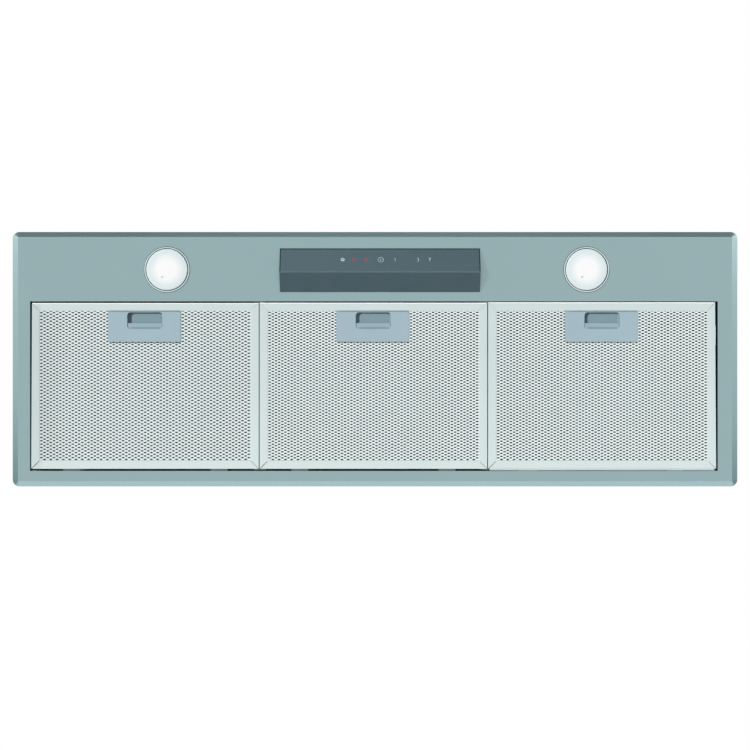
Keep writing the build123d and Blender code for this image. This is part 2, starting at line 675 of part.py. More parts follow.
def make_divider_bars():
    """They back the joints between the filters and tie the two long lips together."""
    bars = []
    for left, right in zip(FILTER_X, FILTER_X[1:]):
        x = (left + right) / 2
        half = DIVIDER_WIDTH / 2
        z0 = FILTER_TOP + LOOSE
        bars.append(block(x - half, x + half, OPEN_Y0, OPEN_Y1, z0, z0 + DIVIDER_THICK))
    return group(bars)


# ---- Control panel ----------------------------------------------------------------------------
def meet(p, p_way, q, q_way):
    """Where two lines in a plane cross."""
    cross = p_way[0] * q_way[1] - p_way[1] * q_way[0]
    share = ((q[0] - p[0]) * q_way[1] - (q[1] - p[1]) * q_way[0]) / cross
    return p[0] + share * p_way[0], p[1] + share * p_way[1]


def panel_slopes():
    """The section's corners, and the direction and inward normal of its two slopes, as (y, z)."""
    y0 = panel_limits(0)[2]
    front = (y0, FACE - PANEL_EDGE)
    ridge = (y0 + PANEL_RIDGE_BACK, FACE - PANEL_DROP)
    rear = (y0 + PANEL_DEPTH, FACE - PANEL_EDGE)
    slopes = []
    for start, end in ((front, ridge), (ridge, rear)):
        run = (end[0] - start[0], end[1] - start[1])
        size = hypot(*run)
        way = (run[0] / size, run[1] / size)
        slopes.append((start, way, (-way[1], way[0]), size))
    return front, ridge, rear, slopes


def fascia_plane(depth):
    """A plane parallel to the front slope at a depth behind it. Its own x is X, y runs to the ridge."""
    start, way, inward, size = panel_slopes()[3][0]
    y = start[0] + way[0] * size / 2 + inward[0] * depth
    z = start[1] + way[1] * size / 2 + inward[1] * depth
    return Plane(origin=(PANEL_CENTRE_X, y, z), x_dir=(1, 0, 0), z_dir=(0, inward[0], inward[1]))


def fascia_size():
    slope = panel_slopes()[3][0][3]
    return PANEL_LENGTH - 2 * FASCIA_INSET, slope - 2 * FASCIA_INSET


def make_control_housing():
    x0, x1, y0, y1 = panel_limits(0)
    front, ridge, rear, slopes = panel_slopes()
    body = along_x([(y0, FACE), front, ridge, rear, (y1, FACE)], x0, x1)
    body = fillet(body.edges().filter_by(Axis.Z).group_by(Axis.Y)[0], PANEL_CORNER)
    (a, a_way, a_in, _), (b, b_way, b_in, _) = slopes
    a_inner = (a[0] + a_in[0] * PANEL_FRONT_WALL, a[1] + a_in[1] * PANEL_FRONT_WALL)
    b_inner = (b[0] + b_in[0] * PANEL_WALL, b[1] + b_in[1] * PANEL_WALL)
    room_front = y0 + NECK_INSET + PANEL_WALL
    room_rear = y1 - NECK_INSET - PANEL_WALL
    upright = (0, 1)
    top = FACE + NECK_HEIGHT
    room = along_x(
        [
            (room_front, top + 1),
            meet(a_inner, a_way, (room_front, 0), upright),
            meet(a_inner, a_way, b_inner, b_way),
            meet(b_inner, b_way, (room_rear, 0), upright),
            (room_rear, top + 1),
        ],
        x0 + NECK_INSET + PANEL_WALL,
        x1 - NECK_INSET - PANEL_WALL,
    )
    nx0, nx1, ny0, ny1 = panel_limits(NECK_INSET)
    body += block(nx0, nx1, ny0, ny1, FACE - PANEL_EDGE, top)
    body -= room
    length, width = fascia_size()
    recess = fascia_plane(0) * Box(length + 0.2, width + 0.2, 2 * FASCIA_THICK)
    window = fascia_plane(PANEL_FRONT_WALL / 2) * Box(2 * WINDOW_HALF, WINDOW_WIDTH, 3 * PANEL_FRONT_WALL)
    return body - recess - window


def make_control_fascia():
    length, width = fascia_size()
    return fascia_plane(FASCIA_THICK / 2) * Box(length, width, FASCIA_THICK)


def make_control_board():
    return fascia_plane(PANEL_FRONT_WALL + BOARD_THICK / 2) * Box(2 * BOARD_HALF, BOARD_WIDTH, BOARD_THICK)


def make_light_guides():
    """One under each symbol of the fascia, standing on the board."""
    length = PANEL_FRONT_WALL - FASCIA_THICK
    middle = fascia_plane(FASCIA_THICK + length / 2)
    return group([middle * Pos(x, 0, 0) * Cylinder(GUIDE_RADIUS, length) for x in SYMBOL_X])


# ---- Lamps ------------------------------------------------------------------------------------
def make_lamps():
    barrel_top = FACE + LAMP_BARREL
    glass_low = LAMP_GLASS_TOP - LAMP_GLASS_THICK
    seat = LAMP_GLASS_RADIUS + SLIDING
    ring = [
        (LAMP_RING_RADIUS, FACE),
        (LAMP_RING_RADIUS, FACE - 0.8),
        (LAMP_RING_RADIUS - 0.5, FACE - 1.7),
        (LAMP_RING_RADIUS - 1.5, FACE - LAMP_RING_DROP),
        (LAMP_GLASS_RADIUS - 0.2, FACE - LAMP_RING_DROP + 0.2),
        (LAMP_GLASS_RADIUS - 0.5, glass_low - 0.4),
        (LAMP_GLASS_RADIUS - 0.5, glass_low),
        (seat, glass_low),
        (seat, LAMP_GLASS_TOP),
        (LAMP_BORE_RADIUS, LAMP_GLASS_TOP),
        (LAMP_BORE_RADIUS, barrel_top),
        (LAMP_BARREL_RADIUS, barrel_top),
        (LAMP_BARREL_RADIUS, FACE),
    ]
    cup_rim = LAMP_BORE_RADIUS - SCREW_PLAY
    cup = [
        (cup_rim, LAMP_GLASS_TOP),
        (cup_rim - LAMP_SHELL, LAMP_GLASS_TOP),
        (LAMP_SEAT_RADIUS, CUP_TOP - LAMP_SHELL),
        (0, CUP_TOP - LAMP_SHELL),
        (0, CUP_TOP),
        (LAMP_SEAT_RADIUS + LAMP_SHELL, CUP_TOP),
        (cup_rim, LAMP_GLASS_TOP + 2 * LAMP_SHELL),
    ]
    can = [
        (LAMP_BORE_RADIUS, barrel_top),
        (LAMP_BORE_RADIUS, CUP_TOP),
        (0, CUP_TOP),
        (0, CUP_TOP + LAMP_LID + FIN_COUNT * FIN_PITCH),
        (FIN_CORE, CUP_TOP + LAMP_LID + FIN_COUNT * FIN_PITCH),
        (FIN_CORE, CUP_TOP + LAMP_LID),
        (LAMP_BARREL_RADIUS, CUP_TOP + LAMP_LID),
        (LAMP_BARREL_RADIUS, barrel_top),
    ]
    clip_top = CUP_TOP - CLIP_FROM_TOP
    out = LAMP_BARREL_RADIUS
    end = out + CLIP_REACH
    clip = [
        (out, clip_top),
        (out, clip_top - CLIP_PAD),
        (out + CLIP_SHEET, clip_top - CLIP_PAD),
        (out + CLIP_SHEET, clip_top - 2.5 * CLIP_SHEET),
        (end - CLIP_TOE, PAN_FLOOR),
        (end, PAN_FLOOR),
        (end, PAN_FLOOR + CLIP_SHEET),
        (end - CLIP_TOE + 0.7 * CLIP_SHEET, PAN_FLOOR + CLIP_SHEET),
        (out + 1.5 * CLIP_SHEET, clip_top),
    ]
    strip = extrude(make_face(Plane.XZ * Polyline(*clip, close=True)), CLIP_WIDTH / 2, both=True)
    nodes = {"rings": [], "glasses": [], "reflectors": [], "cans": [], "clips": []}
    for x, y in lamp_places():
        nodes["rings"].append(spun(ring, x, y))
        nodes["glasses"].append(rod_z(x, y, LAMP_GLASS_RADIUS, glass_low, LAMP_GLASS_TOP))
        nodes["reflectors"].append(spun(cup, x, y))
        fins = spun(can, x, y)
        for i in range(FIN_COUNT):
            z = CUP_TOP + LAMP_LID + (i + 1) * FIN_PITCH
            fins += rod_z(x, y, FIN_RADIUS, z - FIN_THICK, z)
        nodes["cans"].append(fins)
        for turn in (0, 180):
            nodes["clips"].append(Pos(x, y, 0) * Rot(0, 0, turn) * strip)
    for name, solids in nodes.items():
        save(f"lamp_{name}", group(solids))


# ---- Housing and tower ------------------------------------------------------------------------
def tower_screws():
    """Where the tower's base flange is screwed to the housing."""
    along = TOWER_SCREW_SPACING / 2
    side = TOWER_X + TOWER_FLANGE / 2
    deep = (TOWER_Y1 - TOWER_Y0) / 4
    middle = (TOWER_Y0 + TOWER_Y1) / 2
    front_and_rear = (TOWER_Y0 - TOWER_FLANGE / 2, TOWER_Y1 + TOWER_FLANGE / 2)
    places = [(x, y) for x in (-along, along) for y in front_and_rear]
    return places + [(x, y) for x in (-side, side) for y in (middle - deep, middle + deep)]


def spigot_screws():
    half = SPIGOT_SCREW_SPACING / 2
    return [(x, SPIGOT_Y + y) for x in (-half, half) for y in (-half, half)]


def scroll_mounts():
    """Centres of the rubber mounts on the scroll's outlet flange."""
    out = SCROLL_WALL + SCROLL_FLANGE / 2
    x = SCROLL_HALF_WIDTH + out
    return [(side * x, y) for side in (-1, 1) for y in (WHEEL_OUTLET_Y0 - out, WHEEL_OUTLET_Y1 + out)]


def box_screws():
    inset = BOX_WALL + SEAM + BOSS_RADIUS
    xs = (BOX_X0 + inset, BOX_X1 - inset)
    return [(x, y) for x in xs for y in (BOX_Y0 + inset, BOX_Y1 - inset)]


def dog_slot_limits():
    """How far along Y a dog reaches past the wall's inner face, before and after its screw."""
    tip = hypot(DOG_LENGTH, DOG_WIDTH / 2)
    return -DOG_WIDTH / 2 - SLOT_MARGIN, sqrt(tip**2 - CLAMP_SCREW_INSET**2) + SLOT_MARGIN


def make_lower_housing():
    """Sheet panels: four walls, a foot round them and a top with the tower's opening."""
    x, y0, y1 = HOUSING_X, HOUSING_Y0, HOUSING_Y1
    roof = HOUSING_TOP - SHEET
    walls = strip_ring(-x, x, y0, y1, SHEET, PAN_FLOOR, roof - SEAM)
    before, after = dog_slot_limits()
    slot_low = DOG_Z - DOG_TRAVEL - SLOT_MARGIN
    slot_high = DOG_Z + DOG_BOSS_HEIGHT + SLOT_MARGIN
    for side, y in CLAMPS.values():
        through = sorted((side * (x - 2 * SHEET), side * (x + SHEET)))
        walls -= block(*through, y + before, y + after, slot_low, slot_high)
    for side in (-1, 1):
        through = sorted((side * (x - 2 * SHEET), side * (x + SHEET)))
        for y in (SIDE_SCREW_Y - SIDE_SCREW_SPACING / 2, SIDE_SCREW_Y + SIDE_SCREW_SPACING / 2):
            walls -= rod_x(*through, y, SIDE_SCREW_Z, SIDE_SCREW_RADIUS)
    out = SEAM + FOOT_WIDTH
    foot = strip_ring(-x - out, x + out, y0 - out, y1 + out, FOOT_WIDTH, PAN_FLOOR, PAN_FLOOR + SHEET)
    top = block(-x, x, y0, y1, roof, HOUSING_TOP)
    top -= block(
        -TOWER_X + SHEET, TOWER_X - SHEET, TOWER_Y0 + SHEET, TOWER_Y1 - SHEET, roof - 1, HOUSING_TOP + 1
    )
    for hole_x, hole_y in tower_screws():
        top -= screw_hole(hole_x, hole_y, roof - 1, HOUSING_TOP + 1)
    top -= rod_z(BOX_CENTRE_X, BOX_CENTRE_Y, WIRE_HOLE_RADIUS, roof - 1, HOUSING_TOP + 1)
    return group([walls, foot, top])


def make_motor_tower():
    """Sheet panels: four walls, a base flange round them and a top with the duct's opening."""
    depth = TOWER_Y1 - TOWER_Y0
    middle = (TOWER_Y0 + TOWER_Y1) / 2
    roof = TOWER_TOP - SHEET
    outer = RectangleRounded(TOWER_LENGTH, depth, TOWER_CORNER)
    inner = RectangleRounded(TOWER_LENGTH - 2 * SHEET, depth - 2 * SHEET, TOWER_CORNER - SHEET)
    walls = Pos(0, middle, HOUSING_TOP) * extrude(outer - inner, roof - SEAM - HOUSING_TOP)
    walls = mitred(walls, -TOWER_X, TOWER_X, TOWER_Y0, TOWER_Y1, 2 * TOWER_CORNER, SEAM)
    out = SEAM + TOWER_FLANGE
    flange = strip_ring(
        -TOWER_X - out, TOWER_X + out, TOWER_Y0 - out, TOWER_Y1 + out,
        TOWER_FLANGE, HOUSING_TOP, HOUSING_TOP + SHEET,
    )
    for x, y in tower_screws():
        flange -= screw_hole(x, y, HOUSING_TOP - 1, HOUSING_TOP + 2 * SHEET)
    top = Pos(0, middle, roof) * extrude(outer, SHEET)
    top -= rod_z(0, SPIGOT_Y, SPIGOT_BORE, roof - 1, TOWER_TOP + 1)
    for x, y in spigot_screws() + scroll_mounts():
        top -= screw_hole(x, y, roof - 1, TOWER_TOP + 1)
    return group([walls, flange, top])


def make_casing_screws():
    screws = [screw_down(x, y, HOUSING_TOP + SHEET) for x, y in tower_screws()]
    screws += [screw_down(x, y, SPIGOT_BASE + SPIGOT_FLANGE_THICK) for x, y in spigot_screws()]
    screws += [screw_down(x, y, BOX_TOP + LID_THICK) for x, y in box_screws()]
    return group(screws)


# ---- Duct spigot and flaps --------------------------------------------------------------------
def make_duct_spigot():
    flange = Pos(0, SPIGOT_Y, SPIGOT_BASE) * extrude(
        RectangleRounded(SPIGOT_FLANGE, SPIGOT_FLANGE, TOWER_CORNER), SPIGOT_FLANGE_THICK
    )
    stop_top = AXLE_Z - FLAP_THICK / 2 - LOOSE
    spigot = flange + rod_z(0, SPIGOT_Y, SPIGOT_RADIUS, SPIGOT_BASE, SPIGOT_TOP)
    spigot -= rod_z(0, SPIGOT_Y, SPIGOT_BORE, SPIGOT_BASE - 1, SPIGOT_TOP + 1)
    stop = rod_z(0, SPIGOT_Y, SPIGOT_BORE + SPIGOT_WALL / 2, stop_top - STOP_THICK, stop_top)
    stop -= rod_z(0, SPIGOT_Y, SPIGOT_BORE - STOP_WIDTH, stop_top - 2 * STOP_THICK, stop_top + 1)
    spigot += stop
    spigot -= rod_x(-SPIGOT_RADIUS - 1, SPIGOT_RADIUS + 1, SPIGOT_Y, AXLE_Z, AXLE_RADIUS)
    for x, y in spigot_screws():
        spigot -= screw_hole(x, y, SPIGOT_BASE - 1, SPIGOT_BASE + SPIGOT_FLANGE_THICK + 1)
    flange_top = SPIGOT_BASE + SPIGOT_FLANGE_THICK
    for x, y in scroll_mounts():
        spigot -= rod_z(x, y, SCREW_HEAD_RADIUS + SCREW_PLAY, SPIGOT_BASE - 1, flange_top + 1)
    return spigot


def make_flap(side):
    """A half disc and its knuckles. side is -1 for the front flap and 1 for the rear one."""
    radius = SPIGOT_BORE - FLAP_PLAY
    keep = sorted((side * FLAP_EDGE, side * (radius + 1)))
    disc = rod_z(0, 0, radius, -FLAP_THICK / 2, FLAP_THICK / 2)
    solids = [disc & block(-radius - 1, radius + 1, *keep, -FLAP_THICK, FLAP_THICK)]
    pitch = KNUCKLE_SPAN / KNUCKLE_COUNT
    first = 0 if side < 0 else 1
    for i in range(first, KNUCKLE_COUNT, 2):
        x0 = -KNUCKLE_SPAN / 2 + i * pitch + KNUCKLE_GAP / 2
        x1 = x0 + pitch - KNUCKLE_GAP
        arm = sorted((0, side * (FLAP_EDGE - SEAM)))
        knuckle = rod_x(x0, x1, 0, 0, KNUCKLE_RADIUS)
        knuckle += block(x0, x1, *arm, -FLAP_THICK / 2, FLAP_THICK / 2)
        solids.append(knuckle - rod_x(x0 - 1, x1 + 1, 0, 0, AXLE_RADIUS + RUNNING))
    return group([Pos(0, SPIGOT_Y, AXLE_Z) * solid for solid in solids])


def make_flap_axle():
    end = SPIGOT_RADIUS - SPIGOT_WALL / 3
    return rod_x(-end, end, SPIGOT_Y, AXLE_Z, AXLE_RADIUS)


# ---- Blower -----------------------------------------------------------------------------------
def scroll_outline(wall, top):
    """The scroll's section in the plane of y and z, its arcs and sides moved out by a wall."""
    half = SCROLL_STEP / 2
    y, z = BLOWER_Y, BLOWER_Z
    first = SCROLL_FIRST_RADIUS + wall
    second = first + SCROLL_STEP
    third = second + SCROLL_STEP
    tilt = degrees(asin(wall / first))
    arcs = [
        CenterArc((y - half, z - half), first, 90 + tilt, 90 - tilt),
        CenterArc((y + half, z - half), second, 180, 90),
        CenterArc((y + half, z + half), third, 270, 90),
    ]
    outlet = Polyline(arcs[2] @ 1, (y + half + third, top), (y - half - wall, top), arcs[0] @ 0)
    return make_face(Plane.YZ * Curve(children=[*arcs, outlet]))


def make_blower_scroll():
    """Two side plates with the inlets, the spiral band between them and a flange round the outlet."""
    half = SCROLL_HALF_WIDTH
    side = extrude(scroll_outline(SCROLL_WALL, SCROLL_TOP), SCROLL_WALL)
    side -= rod_x(-1, SCROLL_WALL + 1, BLOWER_Y, BLOWER_Z, INLET_RADIUS)
    side = fanned(side, BLOWER_Y, BLOWER_Z)
    band = extrude(scroll_outline(SCROLL_WALL, SCROLL_TOP), half - SEAM, both=True)
    band -= extrude(scroll_outline(0, SCROLL_TOP + 1), half, both=True)
    band = fanned(band, BLOWER_Y, BLOWER_Z)
    out = SCROLL_WALL + SEAM + SCROLL_FLANGE
    flange = strip_ring(
        -half - out, half + out, WHEEL_OUTLET_Y0 - out, WHEEL_OUTLET_Y1 + out,
        SCROLL_FLANGE, SCROLL_TOP - SCROLL_FLANGE_THICK, SCROLL_TOP,
    )
    for x, y in scroll_mounts():
        flange -= screw_hole(x, y, SCROLL_TOP - SCROLL_FLANGE_THICK - 1, SCROLL_TOP + 1)
    return group([Pos(-half - SCROLL_WALL, 0, 0) * side, Pos(half, 0, 0) * side, band, flange])


def make_fan_wheel():
    """Forward curved blades between two end rings, and the disc and hub that drive them."""
    root = WHEEL_RADIUS - BLADE_DEPTH
    half = WHEEL_HALF_WIDTH
    bore = rod_x(-half, half, 0, 0, SHAFT_RADIUS + RUNNING)
    disc_back = WHEEL_DISC_X - WHEEL_DISC
    disc = rod_x(disc_back, WHEEL_DISC_X, 0, 0, root)
    hub = rod_x(WHEEL_DISC_X - HUB_LENGTH, disc_back - SEAM, 0, 0, HUB_RADIUS)
    solids = [disc - bore, hub - bore]
    for side in (-1, 1):
        ends = sorted((side * (half - WHEEL_RING), side * half))
        ring = rod_x(*ends, 0, 0, WHEEL_RADIUS) - rod_x(-half - 1, half + 1, 0, 0, root)
        solids.append(fanned(ring, 0, 0))
    blade = Pos(0, 0, (root + WHEEL_RADIUS) / 2) * Rot(BLADE_LEAN, 0, 0)
    blade *= Box(2 * (half - WHEEL_RING - SEAM), BLADE_THICK, BLADE_DEPTH)
    solids += [Rot(360 * i / BLADE_COUNT, 0, 0) * blade for i in range(BLADE_COUNT)]
    return group([Pos(0, BLOWER_Y, BLOWER_Z) * solid for solid in solids])


def make_motor_shaft():
    return rod_x(WHEEL_DISC_X - HUB_LENGTH - 2, SHAFT_END, BLOWER_Y, BLOWER_Z, SHAFT_RADIUS)


def make_motor_can():
    end = SPIDER_X
    can = rod_x(MOTOR_START + MOTOR_BELL_THICK, end - MOTOR_BELL_THICK, 0, 0, MOTOR_RADIUS)
    can += rod_x(MOTOR_START, end, 0, 0, MOTOR_BELL)
    can -= rod_x(MOTOR_START - 1, end + 1, 0, 0, SHAFT_RADIUS + RUNNING)
    return Pos(0, BLOWER_Y, BLOWER_Z) * can


def spider_turns():
    return [90 + 360 * i / SPIDER_ARMS for i in range(SPIDER_ARMS)]


def make_motor_spider():
    """A plate with three arms that carries the motor from the scroll's side, across the inlet."""
    spider = rod_x(SPIDER_X, SPIDER_X + SPIDER_THICK, 0, 0, MOTOR_BELL)
    spider -= rod_x(SPIDER_X - 1, SPIDER_X + SPIDER_THICK + 1, 0, 0, SHAFT_RADIUS * 2.5)
    for turn in spider_turns():
        arm = block(
            SPIDER_X, SPIDER_X + SPIDER_THICK, MOTOR_BELL - 4, SPIDER_REACH, -SPIDER_ARM / 2, SPIDER_ARM / 2
        )
        spider += Rot(turn, 0, 0) * arm
    return Pos(0, BLOWER_Y, BLOWER_Z) * spider


def make_rubber_mounts():
    mounts = []
    for turn in spider_turns():
        y = BLOWER_Y + SPIDER_MOUNT_RADIUS * cos(radians(turn))
        z = BLOWER_Z + SPIDER_MOUNT_RADIUS * sin(radians(turn))
        mounts.append(rod_x(SPIDER_X - SPIDER_GAP, SPIDER_X, y, z, RUBBER_RADIUS))
    for x, y in scroll_mounts():
        washer = rod_z(x, y, RUBBER_RADIUS, SCROLL_TOP, SCROLL_TOP + RUBBER_HEIGHT)
        mounts.append(washer - screw_hole(x, y, SCROLL_TOP - 1, SCROLL_TOP + RUBBER_HEIGHT + 1))
    return group(mounts)


# ---- Electronics box --------------------------------------------------------------------------
def board_limits():
    x1 = BOX_X1 - BOX_WALL - SEAM - 2 * BOSS_RADIUS - SCREW_PLAY
    middle = BOX_CENTRE_Y
    return x1 - POWER_BOARD_LENGTH, x1, middle - POWER_BOARD_DEPTH / 2, middle + POWER_BOARD_DEPTH / 2


def make_electronics_box():
    """A floor with the board's posts, four walls and the corner bosses for the lid's screws."""
    outer = RectangleRounded(BOX_LENGTH, BOX_DEPTH, LID_CORNER)
    inner = RectangleRounded(BOX_LENGTH - 2 * BOX_WALL, BOX_DEPTH - 2 * BOX_WALL, LID_CORNER - BOX_WALL)
    floor = Pos(BOX_CENTRE_X, BOX_CENTRE_Y, HOUSING_TOP) * extrude(outer, BOX_WALL)
    floor -= rod_z(BOX_CENTRE_X, BOX_CENTRE_Y, WIRE_HOLE_RADIUS, HOUSING_TOP - 1, BOX_FLOOR + 1)
    foot = BOX_FLOOR + SEAM
    walls = Pos(BOX_CENTRE_X, BOX_CENTRE_Y, foot) * extrude(outer - inner, BOX_TOP - foot)
    gland_z = HOUSING_TOP + BOX_HEIGHT / 2
    walls -= rod_x(BOX_X0 - 1, BOX_X0 + BOX_WALL + 1, BOX_CENTRE_Y, gland_z, GLAND_THREAD + RUNNING)
    solids = [floor, mitred(walls, BOX_X0, BOX_X1, BOX_Y0, BOX_Y1, 2 * LID_CORNER, SEAM)]
    boss_top = BOX_TOP - LID_RIM - LOOSE
    for x, y in box_screws():
        boss = rod_z(x, y, BOSS_RADIUS, foot, boss_top)
        solids.append(boss - rod_z(x, y, SCREW_RADIUS + SCREW_PLAY, BOX_TOP - 2 * SCREW_LENGTH, BOX_TOP))
    x0, x1, y0, y1 = board_limits()
    inset = 2 * POST_RADIUS
    for x in (x0 + inset, x1 - inset):
        for y in (y0 + inset, y1 - inset):
            solids.append(rod_z(x, y, POST_RADIUS, foot, BOX_FLOOR + POST_HEIGHT))
    return group(solids)


def make_electronics_lid():
    plate = Pos(BOX_CENTRE_X, BOX_CENTRE_Y, BOX_TOP) * extrude(
        RectangleRounded(BOX_LENGTH, BOX_DEPTH, LID_CORNER), LID_THICK
    )
    play = BOX_WALL + SCREW_PLAY
    rim = RectangleRounded(BOX_LENGTH - 2 * play, BOX_DEPTH - 2 * play, LID_CORNER - BOX_WALL)
    inside = 2 * (play + BOX_WALL)
    rim -= RectangleRounded(BOX_LENGTH - inside, BOX_DEPTH - inside, LID_CORNER / 4)
    lid = plate + Pos(BOX_CENTRE_X, BOX_CENTRE_Y, BOX_TOP - LID_RIM) * extrude(rim, LID_RIM)
    for x, y in box_screws():
        lid -= screw_hole(x, y, BOX_TOP - LID_RIM - 1, BOX_TOP + LID_THICK + 1)
    return lid


def make_power_board():
    x0, x1, y0, y1 = board_limits()
    z0 = BOX_FLOOR + POST_HEIGHT
    board = block(x0, x1, y0, y1, z0, z0 + BOARD_THICK)
    top = z0 + BOARD_THICK
    for x, y, length, depth, height in BOARD_BLOCKS:
        board += block(x0 + x, x0 + x + length, y0 + y, y0 + y + depth, top, top + height)
    for x in BOARD_CANS:
        board += rod_z(x0 + x, y1 - BOARD_CAN_INSET, BOARD_CAN_RADIUS, top, top + BOARD_CAN_HEIGHT)
    return board


def make_run_capacitor():
    x = (BOX_X0 + BOX_WALL + board_limits()[0]) / 2
    y0 = BOX_CENTRE_Y - CAPACITOR_LENGTH / 2
    return rod_y(x, y0, y0 + CAPACITOR_LENGTH, BOX_FLOOR + CAPACITOR_RADIUS, CAPACITOR_RADIUS)


def make_cable_gland():
    z = HOUSING_TOP + BOX_HEIGHT / 2
    y = BOX_CENTRE_Y
    gland = rod_x(BOX_X0 - GLAND_OUTSIDE, BOX_X0, y, z, GLAND_NUT)
    gland = chamfer(gland.edges().sort_by(Axis.X)[0], GLAND_NUT / 3)
    gland += rod_x(BOX_X0 - 1, BOX_X0 + BOX_WALL + GLAND_INSIDE, y, z, GLAND_THREAD)
    return gland - rod_x(BOX_X0 - GLAND_OUTSIDE - 1, BOX_X0 + GLAND_OUTSIDE, y, z, CABLE_RADIUS)


# ---- Cabinet clamps ---------------------------------------------------------------------------
def make_clamp_brackets():
    """Two angle pieces for each clamp screw, riveted to the housing's side."""
    angles = []
    wall = HOUSING_X - SHEET
    depth = CLAMP_SCREW_INSET + CLAMP_HEAD_RADIUS + 2
    for side, y in CLAMPS.values():
        for z0, foot_z in ((EAR_LOW, EAR_LOW - EAR_FOOT), (EAR_HIGH, EAR_HIGH)):
            ear_x = sorted((side * wall, side * (wall - depth)))
            foot_x = sorted((side * wall, side * (wall - EAR_THICK)))
            y0, y1 = y - EAR_WIDTH / 2, y + EAR_WIDTH / 2
            foot_top = EAR_LOW + EAR_THICK if foot_z < EAR_LOW else EAR_HIGH + EAR_FOOT
            angle = block(*ear_x, y0, y1, z0, z0 + EAR_THICK)
            angle += block(*foot_x, y0, y1, foot_z, foot_top)
            angle -= rod_z(side * CLAMP_X, y, CLAMP_SCREW_RADIUS + RUNNING, z0 - 1, z0 + EAR_THICK + 1)
            angles.append(angle)
    return group(angles)


def make_clamp_screw(side, y):
    """Held up by its collar on the upper ear. Its head is reached from below."""
    x = side * CLAMP_X
    collar = EAR_HIGH + EAR_THICK
    head_top = EAR_LOW - SLIDING
    screw = rod_z(x, y, CLAMP_SCREW_RADIUS, head_top - 1, collar + CLAMP_TIP)
    screw += rod_z(x, y, CLAMP_COLLAR_RADIUS, collar, collar + CLAMP_COLLAR_HEIGHT)
    head = rod_z(x, y, CLAMP_HEAD_RADIUS, head_top - CLAMP_HEAD_HEIGHT, head_top)
    slot = Box(2 * CLAMP_HEAD_RADIUS + 1, CLAMP_SLOT_WIDTH, 2 * CLAMP_SLOT_DEPTH)
    return screw + head - Pos(x, y, head_top - CLAMP_HEAD_HEIGHT) * slot


def make_clamp_dog(side, y):
    """Stowed along the wall, its arm points to the rear."""
    x = side * CLAMP_X
    dog = rod_z(x, y, DOG_BOSS_RADIUS, DOG_Z, DOG_Z + DOG_BOSS_HEIGHT)
    half = DOG_WIDTH / 2
    dog += block(x - half, x + half, y, y + DOG_LENGTH, DOG_Z, DOG_Z + DOG_THICK)
    rib = DOG_THICK / 4
    dog += block(x - rib, x + rib, y, y + DOG_LENGTH * 0.8, DOG_Z, DOG_Z + 2 * DOG_THICK)
    return dog - rod_z(x, y, CLAMP_SCREW_RADIUS + RUNNING, DOG_Z - 1, DOG_Z + DOG_BOSS_HEIGHT + 1)


# ---- Write every node -------------------------------------------------------------------------
save("face_plate", make_face_plate())
make_filters()
save("divider_bars", make_divider_bars())
save("control_housing", make_control_housing())
save("control_fascia", make_control_fascia())
save("control_board", make_control_board())
save("light_guides", make_light_guides())
make_lamps()
save("lower_housing", make_lower_housing())
save("motor_tower", make_motor_tower())
save("casing_screws", make_casing_screws())
save("duct_spigot", make_duct_spigot())
save("flap_front", make_flap(-1))
save("flap_rear", make_flap(1))
save("flap_axle", make_flap_axle())
save("blower_scroll", make_blower_scroll())
save("fan_wheel", make_fan_wheel())
save("motor_shaft", make_motor_shaft())
save("motor_can", make_motor_can())
save("motor_spider", make_motor_spider())
save("rubber_mounts", make_rubber_mounts())
save("electronics_box", make_electronics_box())
save("electronics_lid", make_electronics_lid())
save("power_board", make_power_board())
save("run_capacitor", make_run_capacitor())
save("cable_gland", make_cable_gland())
save("clamp_brackets", make_clamp_brackets())
for name, (side, y) in CLAMPS.items():
    save(f"clamp_screw_{name}", make_clamp_screw(side, y))
    save(f"clamp_dog_{name}", make_clamp_dog(side, y))
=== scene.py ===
"""Looks of the built-in range hood insert, seen from below in the photograph.

Lengths are millimetres, but metres in node trees and in the last section. -Y is the front, +Z is up.
"""
import json
import math

import bmesh
import bpy
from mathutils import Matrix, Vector

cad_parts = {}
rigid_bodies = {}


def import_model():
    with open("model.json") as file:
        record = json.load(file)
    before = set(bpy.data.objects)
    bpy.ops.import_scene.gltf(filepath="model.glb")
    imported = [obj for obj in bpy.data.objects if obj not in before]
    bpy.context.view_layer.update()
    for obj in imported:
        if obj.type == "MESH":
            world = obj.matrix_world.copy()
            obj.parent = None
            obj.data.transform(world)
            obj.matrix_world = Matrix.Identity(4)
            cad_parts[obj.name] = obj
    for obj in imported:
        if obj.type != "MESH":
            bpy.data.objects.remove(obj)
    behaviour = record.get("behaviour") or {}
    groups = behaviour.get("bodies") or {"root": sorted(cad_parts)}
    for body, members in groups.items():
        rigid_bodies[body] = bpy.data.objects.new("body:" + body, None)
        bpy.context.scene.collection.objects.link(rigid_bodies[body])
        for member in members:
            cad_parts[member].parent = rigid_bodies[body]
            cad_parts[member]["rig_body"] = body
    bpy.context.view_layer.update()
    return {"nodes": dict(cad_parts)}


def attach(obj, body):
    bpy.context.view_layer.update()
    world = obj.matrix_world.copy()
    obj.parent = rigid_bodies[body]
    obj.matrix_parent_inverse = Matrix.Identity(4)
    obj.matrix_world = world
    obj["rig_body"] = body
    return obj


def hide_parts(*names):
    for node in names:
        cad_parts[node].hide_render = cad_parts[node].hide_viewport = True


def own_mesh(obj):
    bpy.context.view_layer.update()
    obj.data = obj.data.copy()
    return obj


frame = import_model()
NODES = frame["nodes"]
MM = 0.001
WELD = 0.001  # vertices nearer than this are one

